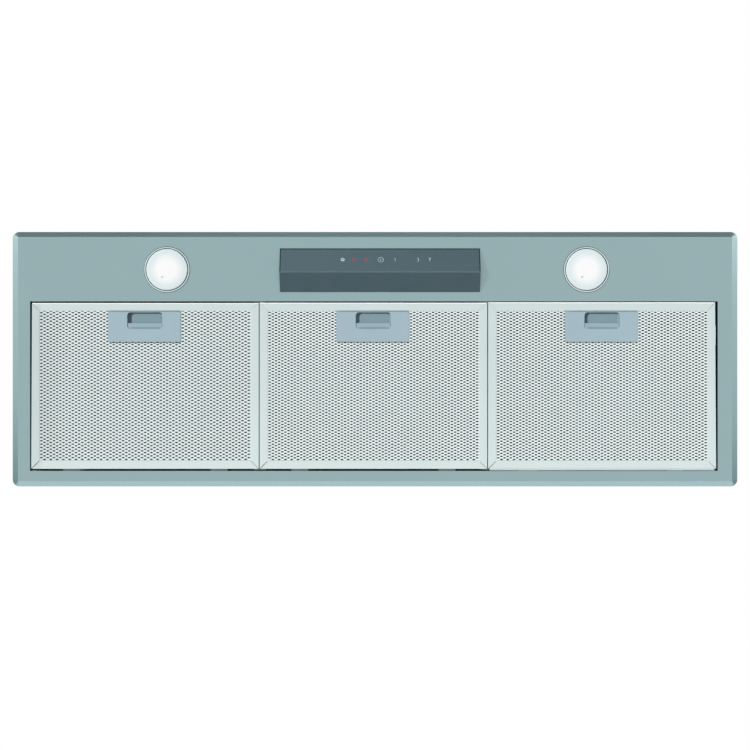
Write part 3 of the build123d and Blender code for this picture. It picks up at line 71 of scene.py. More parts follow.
# ---- Sizes of the side that the photograph shows, within 2.2 mm of the part's ----
FACE = -8.0  # height of the visible face
PLATE = (862.2, 302.2)
PLATE_FRONT_EXTRA = 0.4  # beyond half of that depth
PLATE_REAR_EXTRA = 0.15
BEVEL_SHARE_Y = 0.86  # of the bevel's width along X
OPENING = (-409.3, 406.7, -68.7, 132.5)  # x0, x1, y0, y1
GAP_SHADE_SKIN = 0.02  # from the opening's ends to the dark strips on them, painted shade in the gaps
GAP_SHADE_THICK = 0.3
FILTER_X = {"left": -272.95, "centre": -1.9, "right": 269.5}
FILTER_LENGTH = 270.1
FILTER_Y = (-66.8, 130.1)
RAIL = 10.3
FRONT_RAIL = 9.6
MITRE_GAP = 0.3
OPEN_MITRE_GAP = 0.7  # at the rear left corner
WINDOW_Y = (-57.2, 119.7)  # the front mesh between the rails
MESH_PITCH = 7.46
MESH_STEP = {"left": 2.0, "centre": 1.8, "right": 1.8}
MESH_HOLE = (1.98, 0.9)
MESH_EDGE = 1.1  # from the filter's edge to the meshes'
BORDER_GAP = 1.5  # from the window to the front mesh's flat border
BORDER_Z = (-6.9, -6.5)
HANDLE_HALF = 22.2  # of the border's gap for the handle
HOOK_X = 87.5
HOOK_HALF = 10.0
HOOK_YZ = (128.6, 135.5, -5.5, -4.7)
FIN_Z = (-5.6, -5.2)
KEY_SPAN = (1.6, 9.0)  # of the corner keys, in from the filter's edge
KEY_HALF = 0.6
KEY_Z = (-7.07, -6.93)
# x0, x1, y0, y1 with x from the filter's middle
HANDLE_PLATE = (-43.95, 42.4, -56.2, -20.5)
HANDLE_MOUTH = (-20.9, 20.7, -55.6, -36.0)
HANDLE_ROOM = (-21.9, 21.8, -55.6, -27.9)
HANDLE_SLOT = (-9.2, 9.2, -42.1, -34.2)
LAMPS = ((-246.8, -106.4), (251.0, -106.4))
LAMP_RECESS = 27.45
LAMP_HOLE = 25.8
PAINTED_GLOW_RADII = (0.0115, 0.0205)  # metres from a lamp's middle, between which the glass's painted glow fades
PANEL = (-112.7, 124.4, -131.4, -79.8)
PANEL_EDGE_Z = -9.6
PANEL_CUT = 4.6  # the plate's hole behind it, in from its edge
RIDGE = (-102.6, -24.0)  # y, z of the control housing's highest line
RIDGE_RADIUS = 0.55
FASCIA_JOINT = 1.1
SYMBOL_MIDDLE = 5.75  # x from which the symbols' places count
SYMBOL_ROW = -0.5  # along the slope from the fascia's middle line
SYMBOL_HEIGHTS = (0.05, 0.17)
STROKE = 0.5

# ---- Sizes of the casing, the same as in the part ----
HOUSING = (-416.5, 416.5, -133.5, 137.5)  # x0, x1, y0, y1
HOUSING_TOP = 110.0
TOWER = (-150.0, 150.0, -121.5, 125.5)
TOWER_TOP = 348.0
BEAD_WIDTH = 9.0
BEAD_HEIGHT = 1.3
LAP = 13.0
SHEET = 0.7
LEFT, RIGHT, FRONT, REAR, UP = (-1, 0, 0), (1, 0, 0), (0, -1, 0), (0, 1, 0), (0, 0, 1)


def cad_box(node):
    """x0, x1, y0, y1, z0, z1 of a CAD node."""
    corners = [NODES[node].matrix_world @ Vector(corner) for corner in NODES[node].bound_box]
    return [round(pick(corner[i] for corner in corners) / MM, 2) for i in range(3) for pick in (min, max)]


# ---- Materials ----
def rgb(r, g, b):
    """An 8-bit screen colour as the linear one that the shaders take."""
    def one(c):
        c /= 255
        return c / 12.92 if c <= 0.04045 else ((c + 0.055) / 1.055) ** 2.4

    return one(r), one(g), one(b), 1.0


RAMP_MIDDLE = 0.5  # where x or y is 0 on a colour ramp, which only reads 0 to 1


class Nodes:
    """The node tree of a material or of the world."""

    def __init__(self, tree):
        self.tree = tree

    def add(self, kind, **values):
        """A node with its settings and the values of its sockets."""
        node = self.tree.nodes.new(kind)
        for key, value in values.items():
            if hasattr(node, key):
                setattr(node, key, value)
            else:
                node.inputs[key.replace("_", " ")].default_value = value
        return node

    def link(self, start, end):
        self.tree.links.new(start, end)

    def math(self, operation, *terms):
        """One calculation with sockets and plain numbers."""
        node = self.add("ShaderNodeMath", operation=operation)
        for term, socket in zip(terms, node.inputs):
            if isinstance(term, (int, float)):
                socket.default_value = term
            else:
                self.link(term, socket)
        return node.outputs[0]

    def mapped(self, factor, *ends):
        """A value moved from one range to another: from low, from high, to low, to high."""
        node = self.add("ShaderNodeMapRange")
        for i, end in enumerate(ends):
            node.inputs[i + 1].default_value = end
        self.link(factor, node.inputs["Value"])
        return node.outputs["Result"]

    def shown(self, path, factor):
        """The factor for the camera's own rays, and 1 for what metal or glass shows."""
        in_metal = self.math("MAXIMUM", factor, path.outputs["Is Glossy Ray"])
        return self.math("MAXIMUM", in_metal, path.outputs["Is Transmission Ray"])


class Surface(Nodes):
    """A material whose colour, roughness and relief come from textures in object space."""

    def __init__(self, name, color, rough, metal=0.0):
        self.mat = bpy.data.materials.new(name)
        self.mat.use_nodes = True
        super().__init__(self.mat.node_tree)
        self.shader = self.tree.nodes["Principled BSDF"]
        self.color = color
        self.shader.inputs["Base Color"].default_value = color
        self.shader.inputs["Roughness"].default_value = rough
        self.shader.inputs["Metallic"].default_value = metal
        self.mat.diffuse_color = color

    def place(self, stretch):
        """Object coordinates, scaled along each axis."""
        coords = self.add("ShaderNodeTexCoord")
        mapping = self.add("ShaderNodeMapping")
        mapping.inputs["Scale"].default_value = stretch
        self.link(coords.outputs["Object"], mapping.inputs["Vector"])
        return mapping.outputs["Vector"]

    def noise(self, scale, detail, rough=0.5, stretch=(1, 1, 1)):
        node = self.add("ShaderNodeTexNoise", Scale=scale, Detail=detail, Roughness=rough)
        self.link(self.place(stretch), node.inputs["Vector"])
        return node.outputs["Fac"]

    def cells(self, scale, feature="F1", stretch=(1, 1, 1), output="Distance"):
        """Voronoi cells, for spangle, mats of wire and tracks on a board."""
        node = self.add("ShaderNodeTexVoronoi", feature=feature, Scale=scale)
        self.link(self.place(stretch), node.inputs["Vector"])
        return node.outputs[output]

    def along(self, axis):
        """Metres along one axis, plus RAMP_MIDDLE."""
        coords, split = self.add("ShaderNodeTexCoord"), self.add("ShaderNodeSeparateXYZ")
        self.link(coords.outputs["Object"], split.inputs["Vector"])
        return self.math("ADD", split.outputs[axis], RAMP_MIDDLE)

    def ramp(self, factor, spread, *colors):
        """One colour up to the first place and the other from the second."""
        node = self.add("ShaderNodeValToRGB")
        for end, place, color in zip(node.color_ramp.elements, spread, colors):
            end.position = place
            end.color = color
        self.link(factor, node.inputs["Fac"])
        return node.outputs["Color"]

    def tint(self, factor, low, high, spread=(0.25, 0.75)):
        """Base colour between two shades of the material's own colour."""
        shades = [tuple(min(1, c * share) for c in self.color[:3]) + (1,) for share in (low, high)]
        self.link(self.ramp(factor, spread, *shades), self.shader.inputs["Base Color"])
        return self

    def shade(self, factor, low, high, spread):
        """Multiplies the base colour by a grey that changes from one place to the other."""
        times = self.add("ShaderNodeVectorMath", operation="MULTIPLY")
        base = self.shader.inputs["Base Color"]
        self.link(base.links[0].from_socket, times.inputs[0])
        self.link(self.ramp(factor, spread, (low, low, low, 1), (high, high, high, 1)), times.inputs[1])
        self.link(times.outputs[0], base)
        return self

    def gloss(self, factor, low, high):
        """Roughness between two values."""
        self.link(self.mapped(factor, 0.25, 0.75, low, high), self.shader.inputs["Roughness"])
        return self

    def relief(self, factor, depth_mm, strength=1.0):
        """A bump on top of any that is there."""
        bump = self.add("ShaderNodeBump", Strength=strength, Distance=depth_mm * MM)
        earlier = self.shader.inputs["Normal"].links
        if earlier:
            self.link(earlier[0].from_socket, bump.inputs["Normal"])
        self.link(factor, bump.inputs["Height"])
        self.link(bump.outputs["Normal"], self.shader.inputs["Normal"])
        return self


def painted(name, color):
    """Metallic paint on steel sheet."""
    s = Surface(name, color, 0.36, 0.85)
    s.tint(s.noise(2600, 2), 0.965, 1.035).gloss(s.noise(9, 3), 0.33, 0.39)
    return s.relief(s.noise(1500, 2), 0.012, 0.5)


def moulded(name, color, rough, grain=1400, depth=0.02, spread=0.03):
    """Plastic, rubber or cloth with a fine grain."""
    s = Surface(name, color, rough)
    s.tint(s.noise(60, 4), 1 - spread, 1 + spread).gloss(s.noise(35, 3), rough - 0.04, rough + 0.05)
    return s.relief(s.noise(grain, 2), depth, 0.6)


def rolled(name, color, rough, metal, along, lines, depth, spread=0.05):
    """Metal with faint drawing lines along one axis."""
    stretch = {"X": (0.02, 1, 1), "Y": (1, 0.02, 1)}[along]
    s = Surface(name, color, rough, metal)
    s.tint(s.noise(lines, 2, 0.5, stretch), 1 - spread, 1 + spread)
    s.gloss(s.noise(25, 3), rough - 0.05, rough + 0.07)
    return s.relief(s.noise(lines, 2, 0.6, stretch), depth, 0.7)


def galvanised(name, color):
    """Zinc coated sheet with its spangle."""
    s = Surface(name, color, 0.42, 0.6)
    spangles = s.cells(150, output="Color")
    split = s.add("ShaderNodeSeparateColor")
    s.link(spangles, split.inputs["Color"])
    s.tint(split.outputs["Red"], 0.94, 1.04, (0.0, 1.0))
    s.gloss(split.outputs["Green"], 0.37, 0.48)
    return s.relief(s.noise(240, 3), 0.03, 0.5)


PLATE_PAINT = painted("plate_paint", rgb(155, 181, 184))
GALVANISED = galvanised("galvanised", rgb(196, 200, 202))
# Rails brighten to the rear as painted light, and meshes are brighter past the left filter. Both are darker
# at the far left as painted shade.
RAIL_METAL = rolled("rail_aluminium", rgb(215, 229, 228), 0.36, 0.55, "X", 700, 0.004, 0.025)
RAIL_METAL.tint(RAIL_METAL.along("Y"), 0.955, 1.03, (0.48, 0.63))
# painted shade on the left filter's left rail
RAIL_METAL.shade(RAIL_METAL.along("X"), 0.91, 1.0, (0.1015, 0.103))
# A pale strip on the front rail's edge: a painted highlight.
RAIL_PAINTED_HIGHLIGHT = rolled("rail_painted_highlight", rgb(252, 255, 255), 0.3, 0.0, "X", 700, 0.002, 0.015)
MESH_METAL = rolled("mesh_aluminium", rgb(232, 242, 241), 0.38, 0.6, "X", 1200, 0.01, 0.06)
MESH_METAL.tint(MESH_METAL.along("X"), 1.01, 1.085, (0.361, 0.363))
# painted shadow of the left rail on the mesh next to it
MESH_METAL.shade(MESH_METAL.along("X"), 0.9, 1.0, (0.104, 0.135))
# Dark layers behind the meshes: painted shade in the holes, with the grease pad's cells.
PAD_PAINTED_SHADE = Surface("mesh_layers_painted_shade", rgb(25, 35, 37), 0.6, 0.3)
PAD_PAINTED_SHADE.tint(PAD_PAINTED_SHADE.cells(420, stretch=(0.6, 1, 1)), 0.3, 1.5, (0.1, 0.7))
PAD_PAINTED_SHADE.relief(PAD_PAINTED_SHADE.cells(420, stretch=(0.6, 1, 1)), 0.6)
HANDLE_PLASTIC = moulded("handle_plastic", rgb(161, 184, 194), 0.42, 1800, 0.01, 0.015)
GRIP_PLASTIC = moulded("grip_plastic", rgb(151, 175, 185), 0.45, 1500, 0.012, 0.02)
# Darker than the handle: painted shade in the pocket's room and in the line before the plate.
POCKET_PAINTED_SHADE = moulded("pocket_painted_shade", rgb(131, 156, 164), 0.5, 1500, 0.015, 0.02)
PANEL_PLASTIC = moulded("panel_plastic", rgb(60, 81, 90), 0.55, 2400, 0.02, 0.03)
FASCIA_PLASTIC = moulded("fascia_plastic", rgb(84, 104, 112), 0.32, 3000, 0.005, 0.02)
FASCIA_PLASTIC.shade(FASCIA_PLASTIC.along("X"), 1.0, 0.9, (0.44, 0.61))  # darker to the right
# Dark joint round the fascia: painted shade of its edge and gap.
PANEL_SHADE_LINE = moulded("panel_shade_line", rgb(20, 36, 43), 0.6)
# Pale strip on the ridge: a painted highlight.
PANEL_RIDGE_HIGHLIGHT = moulded("panel_ridge_highlight", rgb(100, 118, 125), 0.4, 2400, 0.01, 0.02)
SYMBOL_PALE = moulded("symbol_pale", rgb(196, 210, 214), 0.5, 2000, 0.002)
SYMBOL_RED = moulded("symbol_red", rgb(176, 78, 84), 0.45, 2000, 0.002)
SYMBOL_DIM_RED = moulded("symbol_dim_red", rgb(128, 88, 96), 0.5, 2000, 0.002)
# Dark strips on the opening's ends: painted shade in the gaps beside the filters.
GAP_SHADE_STRIP = moulded("gap_painted_shade", rgb(24, 36, 46), 0.9, 900, 0.1, 0.08)
SEAL_RUBBER = moulded("seal_rubber", rgb(96, 118, 114), 0.6)
PIP_PLASTIC = moulded("pip_plastic", rgb(205, 214, 217), 0.4, 1500, 0.01, 0.02)
CHROME = rolled("lamp_chrome", rgb(212, 229, 227), 0.12, 1.0, "X", 300, 0.001, 0.015)
REFLECTOR = rolled("reflector", rgb(236, 238, 238), 0.12, 1.0, "X", 300, 0.002, 0.02)
CAST = Surface("cast_aluminium", rgb(168, 172, 175), 0.5, 0.85)
CAST.tint(CAST.noise(90, 5), 0.88, 1.08).relief(CAST.noise(900, 3), 0.08, 0.6)
SPRING_STEEL = rolled("spring_steel", rgb(150, 152, 155), 0.3, 1.0, "Y", 900, 0.003)
SCREW_STEEL = rolled("screw_steel", rgb(190, 192, 194), 0.3, 1.0, "X", 900, 0.003)
# Steel of the rear hooks, darkened as painted shade in the rear gap.
HOOK_STEEL_SHADED = rolled("hook_steel_painted_shade", rgb(118, 128, 130), 0.5, 0.6, "X", 700, 0.004, 0.04)
DOG_STEEL = rolled("dog_steel", rgb(176, 180, 184), 0.38, 0.9, "Y", 500, 0.01)
BLACK_PLASTIC = moulded("black_plastic", rgb(34, 35, 37), 0.5, 900, 0.03, 0.08)
RUBBER = moulded("rubber", rgb(26, 26, 27), 0.8, 700, 0.04, 0.1)
BOX_PLASTIC = moulded("box_plastic", rgb(205, 208, 208), 0.48, 1000, 0.03, 0.02)
CAPACITOR = moulded("capacitor", rgb(226, 228, 228), 0.35, 500, 0.01)
BOARD = Surface("circuit_board", rgb(30, 92, 60), 0.4)
BOARD.tint(BOARD.cells(260, "DISTANCE_TO_EDGE"), 1.6, 0.8, (0.02, 0.06)).relief(BOARD.noise(800, 2), 0.01)
LIGHT_GUIDE = moulded("light_guide", rgb(232, 238, 240), 0.2, 500, 0.002, 0.02)


# ---- Mesh helpers ----
def applied(obj):
    """Replaces an object's mesh by what its modifiers make of it."""
    depsgraph = bpy.context.evaluated_depsgraph_get()
    mesh = bpy.data.meshes.new_from_object(obj.evaluated_get(depsgraph))
    obj.modifiers.clear()
    obj.data = mesh
    return obj


def rounded_edges(obj, width, segments=2, angle=35):
    """Bevels the edges sharper than an angle."""
    bevel = obj.modifiers.new("round", "BEVEL")
    bevel.width = width * MM
    bevel.segments = segments
    bevel.limit_method = "ANGLE"
    bevel.angle_limit = math.radians(angle)
    bevel.use_clamp_overlap = True
    return applied(obj)


def smooth(obj, angle, weighted=True):
    """Smooth shading up to an angle, with flat faces kept flat beside their rounded edges."""
    obj.data.polygons.foreach_set("use_smooth", [True] * len(obj.data.polygons))
    obj.data.set_sharp_from_angle(angle=math.radians(angle))
    if weighted:
        normals = obj.modifiers.new("normals", "WEIGHTED_NORMAL")
        normals.keep_sharp = True
        normals.weight = 100
        applied(obj)
    return obj


def settle(obj, surface, body, instead=()):
    """Gives a finished mesh its material and body, and hides the CAD nodes that it stands in for."""
    obj.data.materials.clear()
    obj.data.materials.append(surface.mat)
    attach(obj, body)
    if instead:
        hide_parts(*instead)


def placed(name, data):
    """A new object in the scene."""
    obj = bpy.data.objects.new(name, data)
    bpy.context.scene.collection.objects.link(obj)
    return obj


def mesh_object(name, verts, faces):
    """A new mesh from points in millimetres."""
    mesh = bpy.data.meshes.new(name)
    mesh.from_pydata([(x * MM, y * MM, z * MM) for x, y, z in verts], [], faces)
    mesh.update()
    return placed(name, mesh)


def faced(obj, welded=False, flattened=False):
    """Outward normals, after joining doubled vertices and dissolving the cuts in flat faces where asked."""
    bm = bmesh.new()
    bm.from_mesh(obj.data)
    if welded:
        bmesh.ops.remove_doubles(bm, verts=bm.verts, dist=WELD * MM)
    if flattened:
        bmesh.ops.dissolve_limit(bm, angle_limit=math.radians(1), verts=bm.verts, edges=bm.edges)
    bmesh.ops.recalc_face_normals(bm, faces=bm.faces)
    bm.to_mesh(obj.data)
    bm.free()
    return obj


# Of corners listed by x, then y, then z
BOX_FACES = [(0, 2, 3, 1), (4, 5, 7, 6), (0, 1, 5, 4), (2, 6, 7, 3), (0, 4, 6, 2), (1, 3, 7, 5)]


def circle(x, y, radius, z, count):
    """Points round an upright axis."""
    turns = [2 * math.pi * i / count for i in range(count)]
    return [(x + radius * math.cos(turn), y + radius * math.sin(turn), z) for turn in turns]


class Build:
    """Vertices and faces of one piece, gathered from several simple forms."""

    def __init__(self):
        self.verts = []
        self.faces = []

    def take(self, verts, faces):
        """Adds vertices and the faces that count from their first."""
        base = len(self.verts)
        self.verts += [tuple(v) for v in verts]
        self.faces += [tuple(i + base for i in face) for face in faces]
        return self

    def block(self, x0, x1, y0, y1, z0, z1):
        """An upright box."""
        return self.take([(x, y, z) for z in (z0, z1) for y in (y0, y1) for x in (x0, x1)], BOX_FACES)

    def rings(self, rings, close=False, caps=(True, True)):
        """Skins a row of loops that have the same number of points."""
        n = len(rings[0])
        faces = []
        pairs = list(zip(range(len(rings)), range(1, len(rings))))
        if close:
            pairs.append((len(rings) - 1, 0))
        for a, b in pairs:
            faces += [(a * n + i, a * n + (i + 1) % n, b * n + (i + 1) % n, b * n + i) for i in range(n)]
        if caps[0]:
            faces.append(tuple(range(n))[::-1])
        if caps[1]:
            faces.append(tuple(range((len(rings) - 1) * n, len(rings) * n)))
        return self.take([p for ring in rings for p in ring], faces)

    def spun(self, profile, x, y, count):
        """Turns a closed profile of (radius, z) points round an upright axis."""
        loops = [circle(x, y, radius, z, count) for radius, z in profile]
        return self.rings(loops, close=True, caps=(False, False))

    def make(self, name):
        return faced(mesh_object(name, self.verts, self.faces))


def rounded_rect(x0, x1, y0, y1, radius, z, steps):
    """Points round a rectangle with rounded corners."""
    points = []
    corners = ((x1 - radius, y1 - radius, 0), (x0 + radius, y1 - radius, 90),
               (x0 + radius, y0 + radius, 180), (x1 - radius, y0 + radius, 270))
    for cx, cy, start in corners:
        for i in range(steps + 1):
            turn = math.radians(start + 90 * i / steps)
            points.append((cx + radius * math.cos(turn), cy + radius * math.sin(turn), z))
    return points


def cut(obj, build, mode="DIFFERENCE"):
    """Cuts a gathered form out of a mesh, or joins it on."""
    cutter = build.make("cutter")
    boolean = obj.modifiers.new("cut", "BOOLEAN")
    boolean.operation = mode
    boolean.solver = "EXACT"
    boolean.object = cutter
    applied(obj)
    bpy.data.objects.remove(cutter)


def softened(node, surface, width, segments=2):
    """A CAD node's own shape with its sharp edges rounded."""
    source = NODES[node]
    obj = placed(f"{node}_soft", source.data.copy())
    faced(obj, welded=True, flattened=True)
    rounded_edges(obj, width, segments)
    smooth(obj, 40)
    settle(obj, surface, source["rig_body"], [node])


def dressed(surface, *nodes):
    """A better material on CAD nodes that stay as they are."""
    for node in nodes:
        mesh = NODES[node].data
        mesh.materials.clear()
        mesh.materials.append(surface.mat)
        mesh.polygons.foreach_set("use_smooth", [True] * len(mesh.polygons))
        mesh.set_sharp_from_angle(angle=math.radians(30))


# ---- Face plate ----
def make_plate():
    """The pan: its bevelled skin with the upturned lips of its opening, and dark strips on their ends as
    painted shade in the gaps.
    """
    lx, ly = PLATE[0] / 2, PLATE[1] / 2

    def ring(inset, z, radius):
        deep = inset * BEVEL_SHARE_Y
        y0, y1 = -ly - PLATE_FRONT_EXTRA + deep, ly + PLATE_REAR_EXTRA - deep
        return rounded_rect(-lx + inset, lx - inset, y0, y1, max(radius, 0.4), z, 8)

    # inset, height, corner radius
    outside = [
        (8.0, 0.0, 1.0), (0.7, 0.0, 7.3), (0.2, -0.2, 7.8), (0.0, -0.7, 8.0), (0.0, -2.55, 8.0),
        (0.05, -2.75, 7.95), (0.2, -2.9, 7.8), (7.15, -7.8, 0.9), (7.3, -7.92, 0.8), (7.5, -8.0, 0.6),
    ]
    inside = [(7.9, -7.0, 0.5), (7.3, -6.85, 0.8), (1.2, -2.1, 6.8), (1.0, -1.0, 7.0), (8.0, -1.0, 1.0)]
    build = Build()
    build.rings([ring(*p) for p in outside], caps=(False, True))
    build.rings([ring(*p) for p in inside], caps=(True, False))
    build.rings([ring(8.0, 0.0, 1.0), ring(8.0, -1.0, 1.0)], caps=(False, False))
    plate = build.make("face_plate_skin")
    faced(plate, welded=True)
    x0, x1, y0, y1 = OPENING
    cut(plate, Build().rings([rounded_rect(x0, x1, y0, y1, 0.6, z, 4) for z in (-9, 3)]))
    for x, y in LAMPS:
        cut(plate, Build().rings([circle(x, y, LAMP_RECESS, z, 96) for z in (-9, -7.45)]))
        cut(plate, Build().rings([circle(x, y, LAMP_HOLE, z, 64) for z in (-9, -5)]))
    px0, px1, py0, py1 = PANEL
    inset = PANEL_CUT
    cut(plate, Build().block(px0 + inset, px1 - inset, py0 + inset, py1 - inset, -9, -5))
    lips = [rounded_rect(x0 - 1 + i, x1 + 1 - i, y0 - 1 + i, y1 + 1 - i, 1.6 - i, z, 4)
            for i, z in ((0, -7.6), (0, 4), (1, 4), (1, -7.6))]
    cut(plate, Build().rings(lips, close=True, caps=(False, False)), "UNION")
    rounded_edges(plate, 0.45, 3, 50)
    smooth(plate, 30)
    settle(plate, PLATE_PAINT, "root", ["face_plate"])
    # Dark strips on the opening's ends: painted shade in the gaps.
    gap_shade = Build()
    gap_shade.block(x0 + GAP_SHADE_SKIN, x0 + GAP_SHADE_THICK, y0 + 1, y1 - 1, -7.75, 3.5)
    gap_shade.block(x1 - GAP_SHADE_THICK, x1 - GAP_SHADE_SKIN, y0 + 1, y1 - 1, -7.75, 3.5)
    settle(gap_shade.make("opening_gap_shade"), GAP_SHADE_STRIP, "root")


# ---- Filters ----
FILTER_EDGES = {
    # the front edge's extra reach, the rear fin's reach, how much narrower the front end is at the left and
    # at the right, and how much wider the whole filter is at each side
    "left": (0.0, 0.0, 0.95, 0.0, 0.0),
    "centre": (0.35, 0.0, 0.0, 0.0, 0.0),
    "right": (0.9, 1.8, 0.0, 1.2, 0.28),
}
RAIL_PROFILE = (
    # distance in from the filter's edge, height above the visible face
    (0.0, 8.2), (0.0, 3.2), (0.45, 2.5), (0.45, 0.7), (0.0, 0.45), (0.0, 0.3), (0.1, 0.1), (0.35, 0.0),
    (8.6, 0.12), (9.4, 0.2), (9.9, 0.42), (10.2, 0.75), (10.3, 1.1), (10.2, 1.35), (9.7, 1.3), (9.2, 1.0),
    (1.2, 0.9), (0.85, 1.2), (0.85, 7.6), (1.4, 8.15), (9.5, 8.15), (9.9, 8.15), (10.3, 8.3), (10.3, 8.8),
    (9.9, 9.0), (0.8, 9.0), (0.25, 8.75),
)


def rail(build, side, half, y0, y1):
    """One mitred rail of a filter, at its side called front, rear, left or right."""
    ends = []
    for end in (-1, 1):
        gap = OPEN_MITRE_GAP if side == "rear" and end < 0 else MITRE_GAP
        loop = []
        for u, h in RAIL_PROFILE:
            front, rear = y0 + u * FRONT_RAIL / RAIL, y1 - u
            if side in ("left", "right"):
                place = (u - half if side == "left" else half - u, front + gap if end < 0 else rear - gap)
            else:
                place = (end * (half - u - gap), front if side == "front" else rear)
            loop.append((*place, FACE + h))
        ends.append(loop)
    build.rings(ends)


def make_filter_frame(name, x):
    """Four mitred rails; the rear hooks, darkened as painted shade; dark corner keys behind the mitre gaps,
    as painted shade there; and a pale strip along the front rail's edge, a painted highlight.
    """
    half = FILTER_LENGTH / 2
    y0, y1 = FILTER_Y
    reach, fin, left, right, wider = FILTER_EDGES[name]
    build = Build()
    for side in ("front", "rear", "left", "right"):
        rail(build, side, half, y0, y1)
    # Rear hooks, darkened as painted shade in the gap.
    hooks = Build()
    for hook in (-HOOK_X, HOOK_X):
        hooks.block(x + hook - HOOK_HALF, x + hook + HOOK_HALF, *HOOK_YZ)
    settle(hooks.make(f"filter_hooks_{name}"), HOOK_STEEL_SHADED, f"filter_{name}")
    # Dark keys behind the mitre gaps: corner keys, dark as painted shade in the gaps.
    keys = Build()
    near, far = KEY_SPAN
    for way in (-1, 1):
        corner = x + way * (half + wider)
        bar = [(near, -KEY_HALF), (near, KEY_HALF), (far, KEY_HALF), (far, -KEY_HALF)]
        keys.rings([[(corner - way * (u + across), y1 - u + across, z) for u, across in bar] for z in KEY_Z])
    settle(keys.make(f"filter_shade_keys_{name}"), BLACK_PLASTIC, f"filter_{name}")
    if fin:
        build.block(-half + 2, half - 2, y1 - 1.1, y1 + fin, *FIN_Z)
    # A pale strip on the front rail's outer edge: a painted highlight.
    edge = Build()
    edge.block(-half + 0.5, half - 0.5, y0 + 0.1, y0 + 1.25, FACE - 0.1, FACE + 0.2)
    for part in (build, edge):
        moved = []
        for vx, vy, vz in part.verts:
            share = (y1 - vy) / (y1 - y0)
            if vx < 5 - half:
                vx += left * share - wider
            elif vx > half - 5:
                vx -= right * share - wider
            if vy < y0 + 4:
                vy -= reach
            moved.append((vx + x, vy, vz))
        part.verts = moved
    obj = smooth(build.make(f"filter_frame_{name}_rails"), 38)
    settle(obj, RAIL_METAL, f"filter_{name}", [f"filter_frame_{name}"])
    settle(smooth(edge.make(f"filter_painted_highlight_{name}"), 38), RAIL_PAINTED_HIGHLIGHT, f"filter_{name}")


def expanded_metal(x, half_x, y0, y1, z, pitch, step, hole, keep_out, depth=0.55, relief=0.22):
    """Staggered slit and stretched sheet: one ring of strand round each hole, and none in keep_out."""
    build = Build()
    columns = int(2 * half_x / pitch) + 1
    rows = int((y1 - y0) / step) + 1
    known = {}

    def vertex(px, py, pz):
        key = (round(px, 3), round(py, 3), round(pz, 3))
        if key not in known:
            known[key] = len(build.verts)
            build.verts.append((px + x, py, pz))
        return known[key]

    quarter = pitch / 4
    tip, flat = quarter + step**2 / pitch, quarter - step**2 / pitch
    half_rim = [(tip, 0), (quarter, step / 2), (flat, step), (-flat, step), (-quarter, step / 2)]
    rim = half_rim + [(-px, -py) for px, py in half_rim]
    hx, hy = hole
    turns = [math.atan2(py * hx, px * hy) for px, py in rim]
    inner = [(hx * math.cos(turn), hy * math.sin(turn)) for turn in turns]
    count = len(rim)
    for row in range(rows):
        cy = y0 + (row + 0.5) * step
        shift = pitch / 2 if row % 2 else 0.0
        for column in range(columns + 1):
            cx = (column - columns / 2) * pitch + shift
            if abs(cx) > half_x:
                continue
            if keep_out[0] < cx < keep_out[1] and keep_out[2] < cy < keep_out[3]:
                continue
            outer_ids = [vertex(cx + px, cy + py, z) for px, py in rim]
            hole_ids = [vertex(cx + px, cy + py, z + relief * (1 if py > 0 else -1) * abs(py) / hy)
                        for px, py in inner]
            deep_ids = [vertex(cx + px * 0.92, cy + py * 0.92, z + depth) for px, py in inner]
            for i in range(count):
                j = (i + 1) % count
                build.faces.append((outer_ids[j], outer_ids[i], hole_ids[i], hole_ids[j]))
                build.faces.append((hole_ids[j], hole_ids[i], deep_ids[i], deep_ids[j]))
    return build


def make_front_mesh(name, x):
    """The expanded sheet in the window, and its flat border under the rails."""
    half = FILTER_LENGTH / 2 - RAIL
    build = expanded_metal(x, half + 2.5, WINDOW_Y[0] - 3, WINDOW_Y[1] + 2, z=-7.15, pitch=MESH_PITCH,
                           step=MESH_STEP[name], hole=MESH_HOLE, keep_out=(-41, 41, -70, -21))
    inner, outer = half + BORDER_GAP, FILTER_LENGTH / 2 - MESH_EDGE
    y0, y1 = WINDOW_Y[0] - BORDER_GAP, WINDOW_Y[1] + BORDER_GAP
    front, rear = FILTER_Y[0] + MESH_EDGE, FILTER_Y[1] - MESH_EDGE
    for border in (
        (-outer, -HANDLE_HALF, front, y0), (HANDLE_HALF, outer, front, y0), (-outer, outer, y1, rear),
        (-outer, -inner, y0, y1), (inner, outer, y0, y1),
    ):
        build.block(x + border[0], x + border[1], *border[2:], *BORDER_Z)
    obj = smooth(mesh_object(f"front_mesh_{name}_strands", build.verts, build.faces), 50, False)
    settle(obj, MESH_METAL, f"filter_{name}", [f"front_mesh_{name}"])


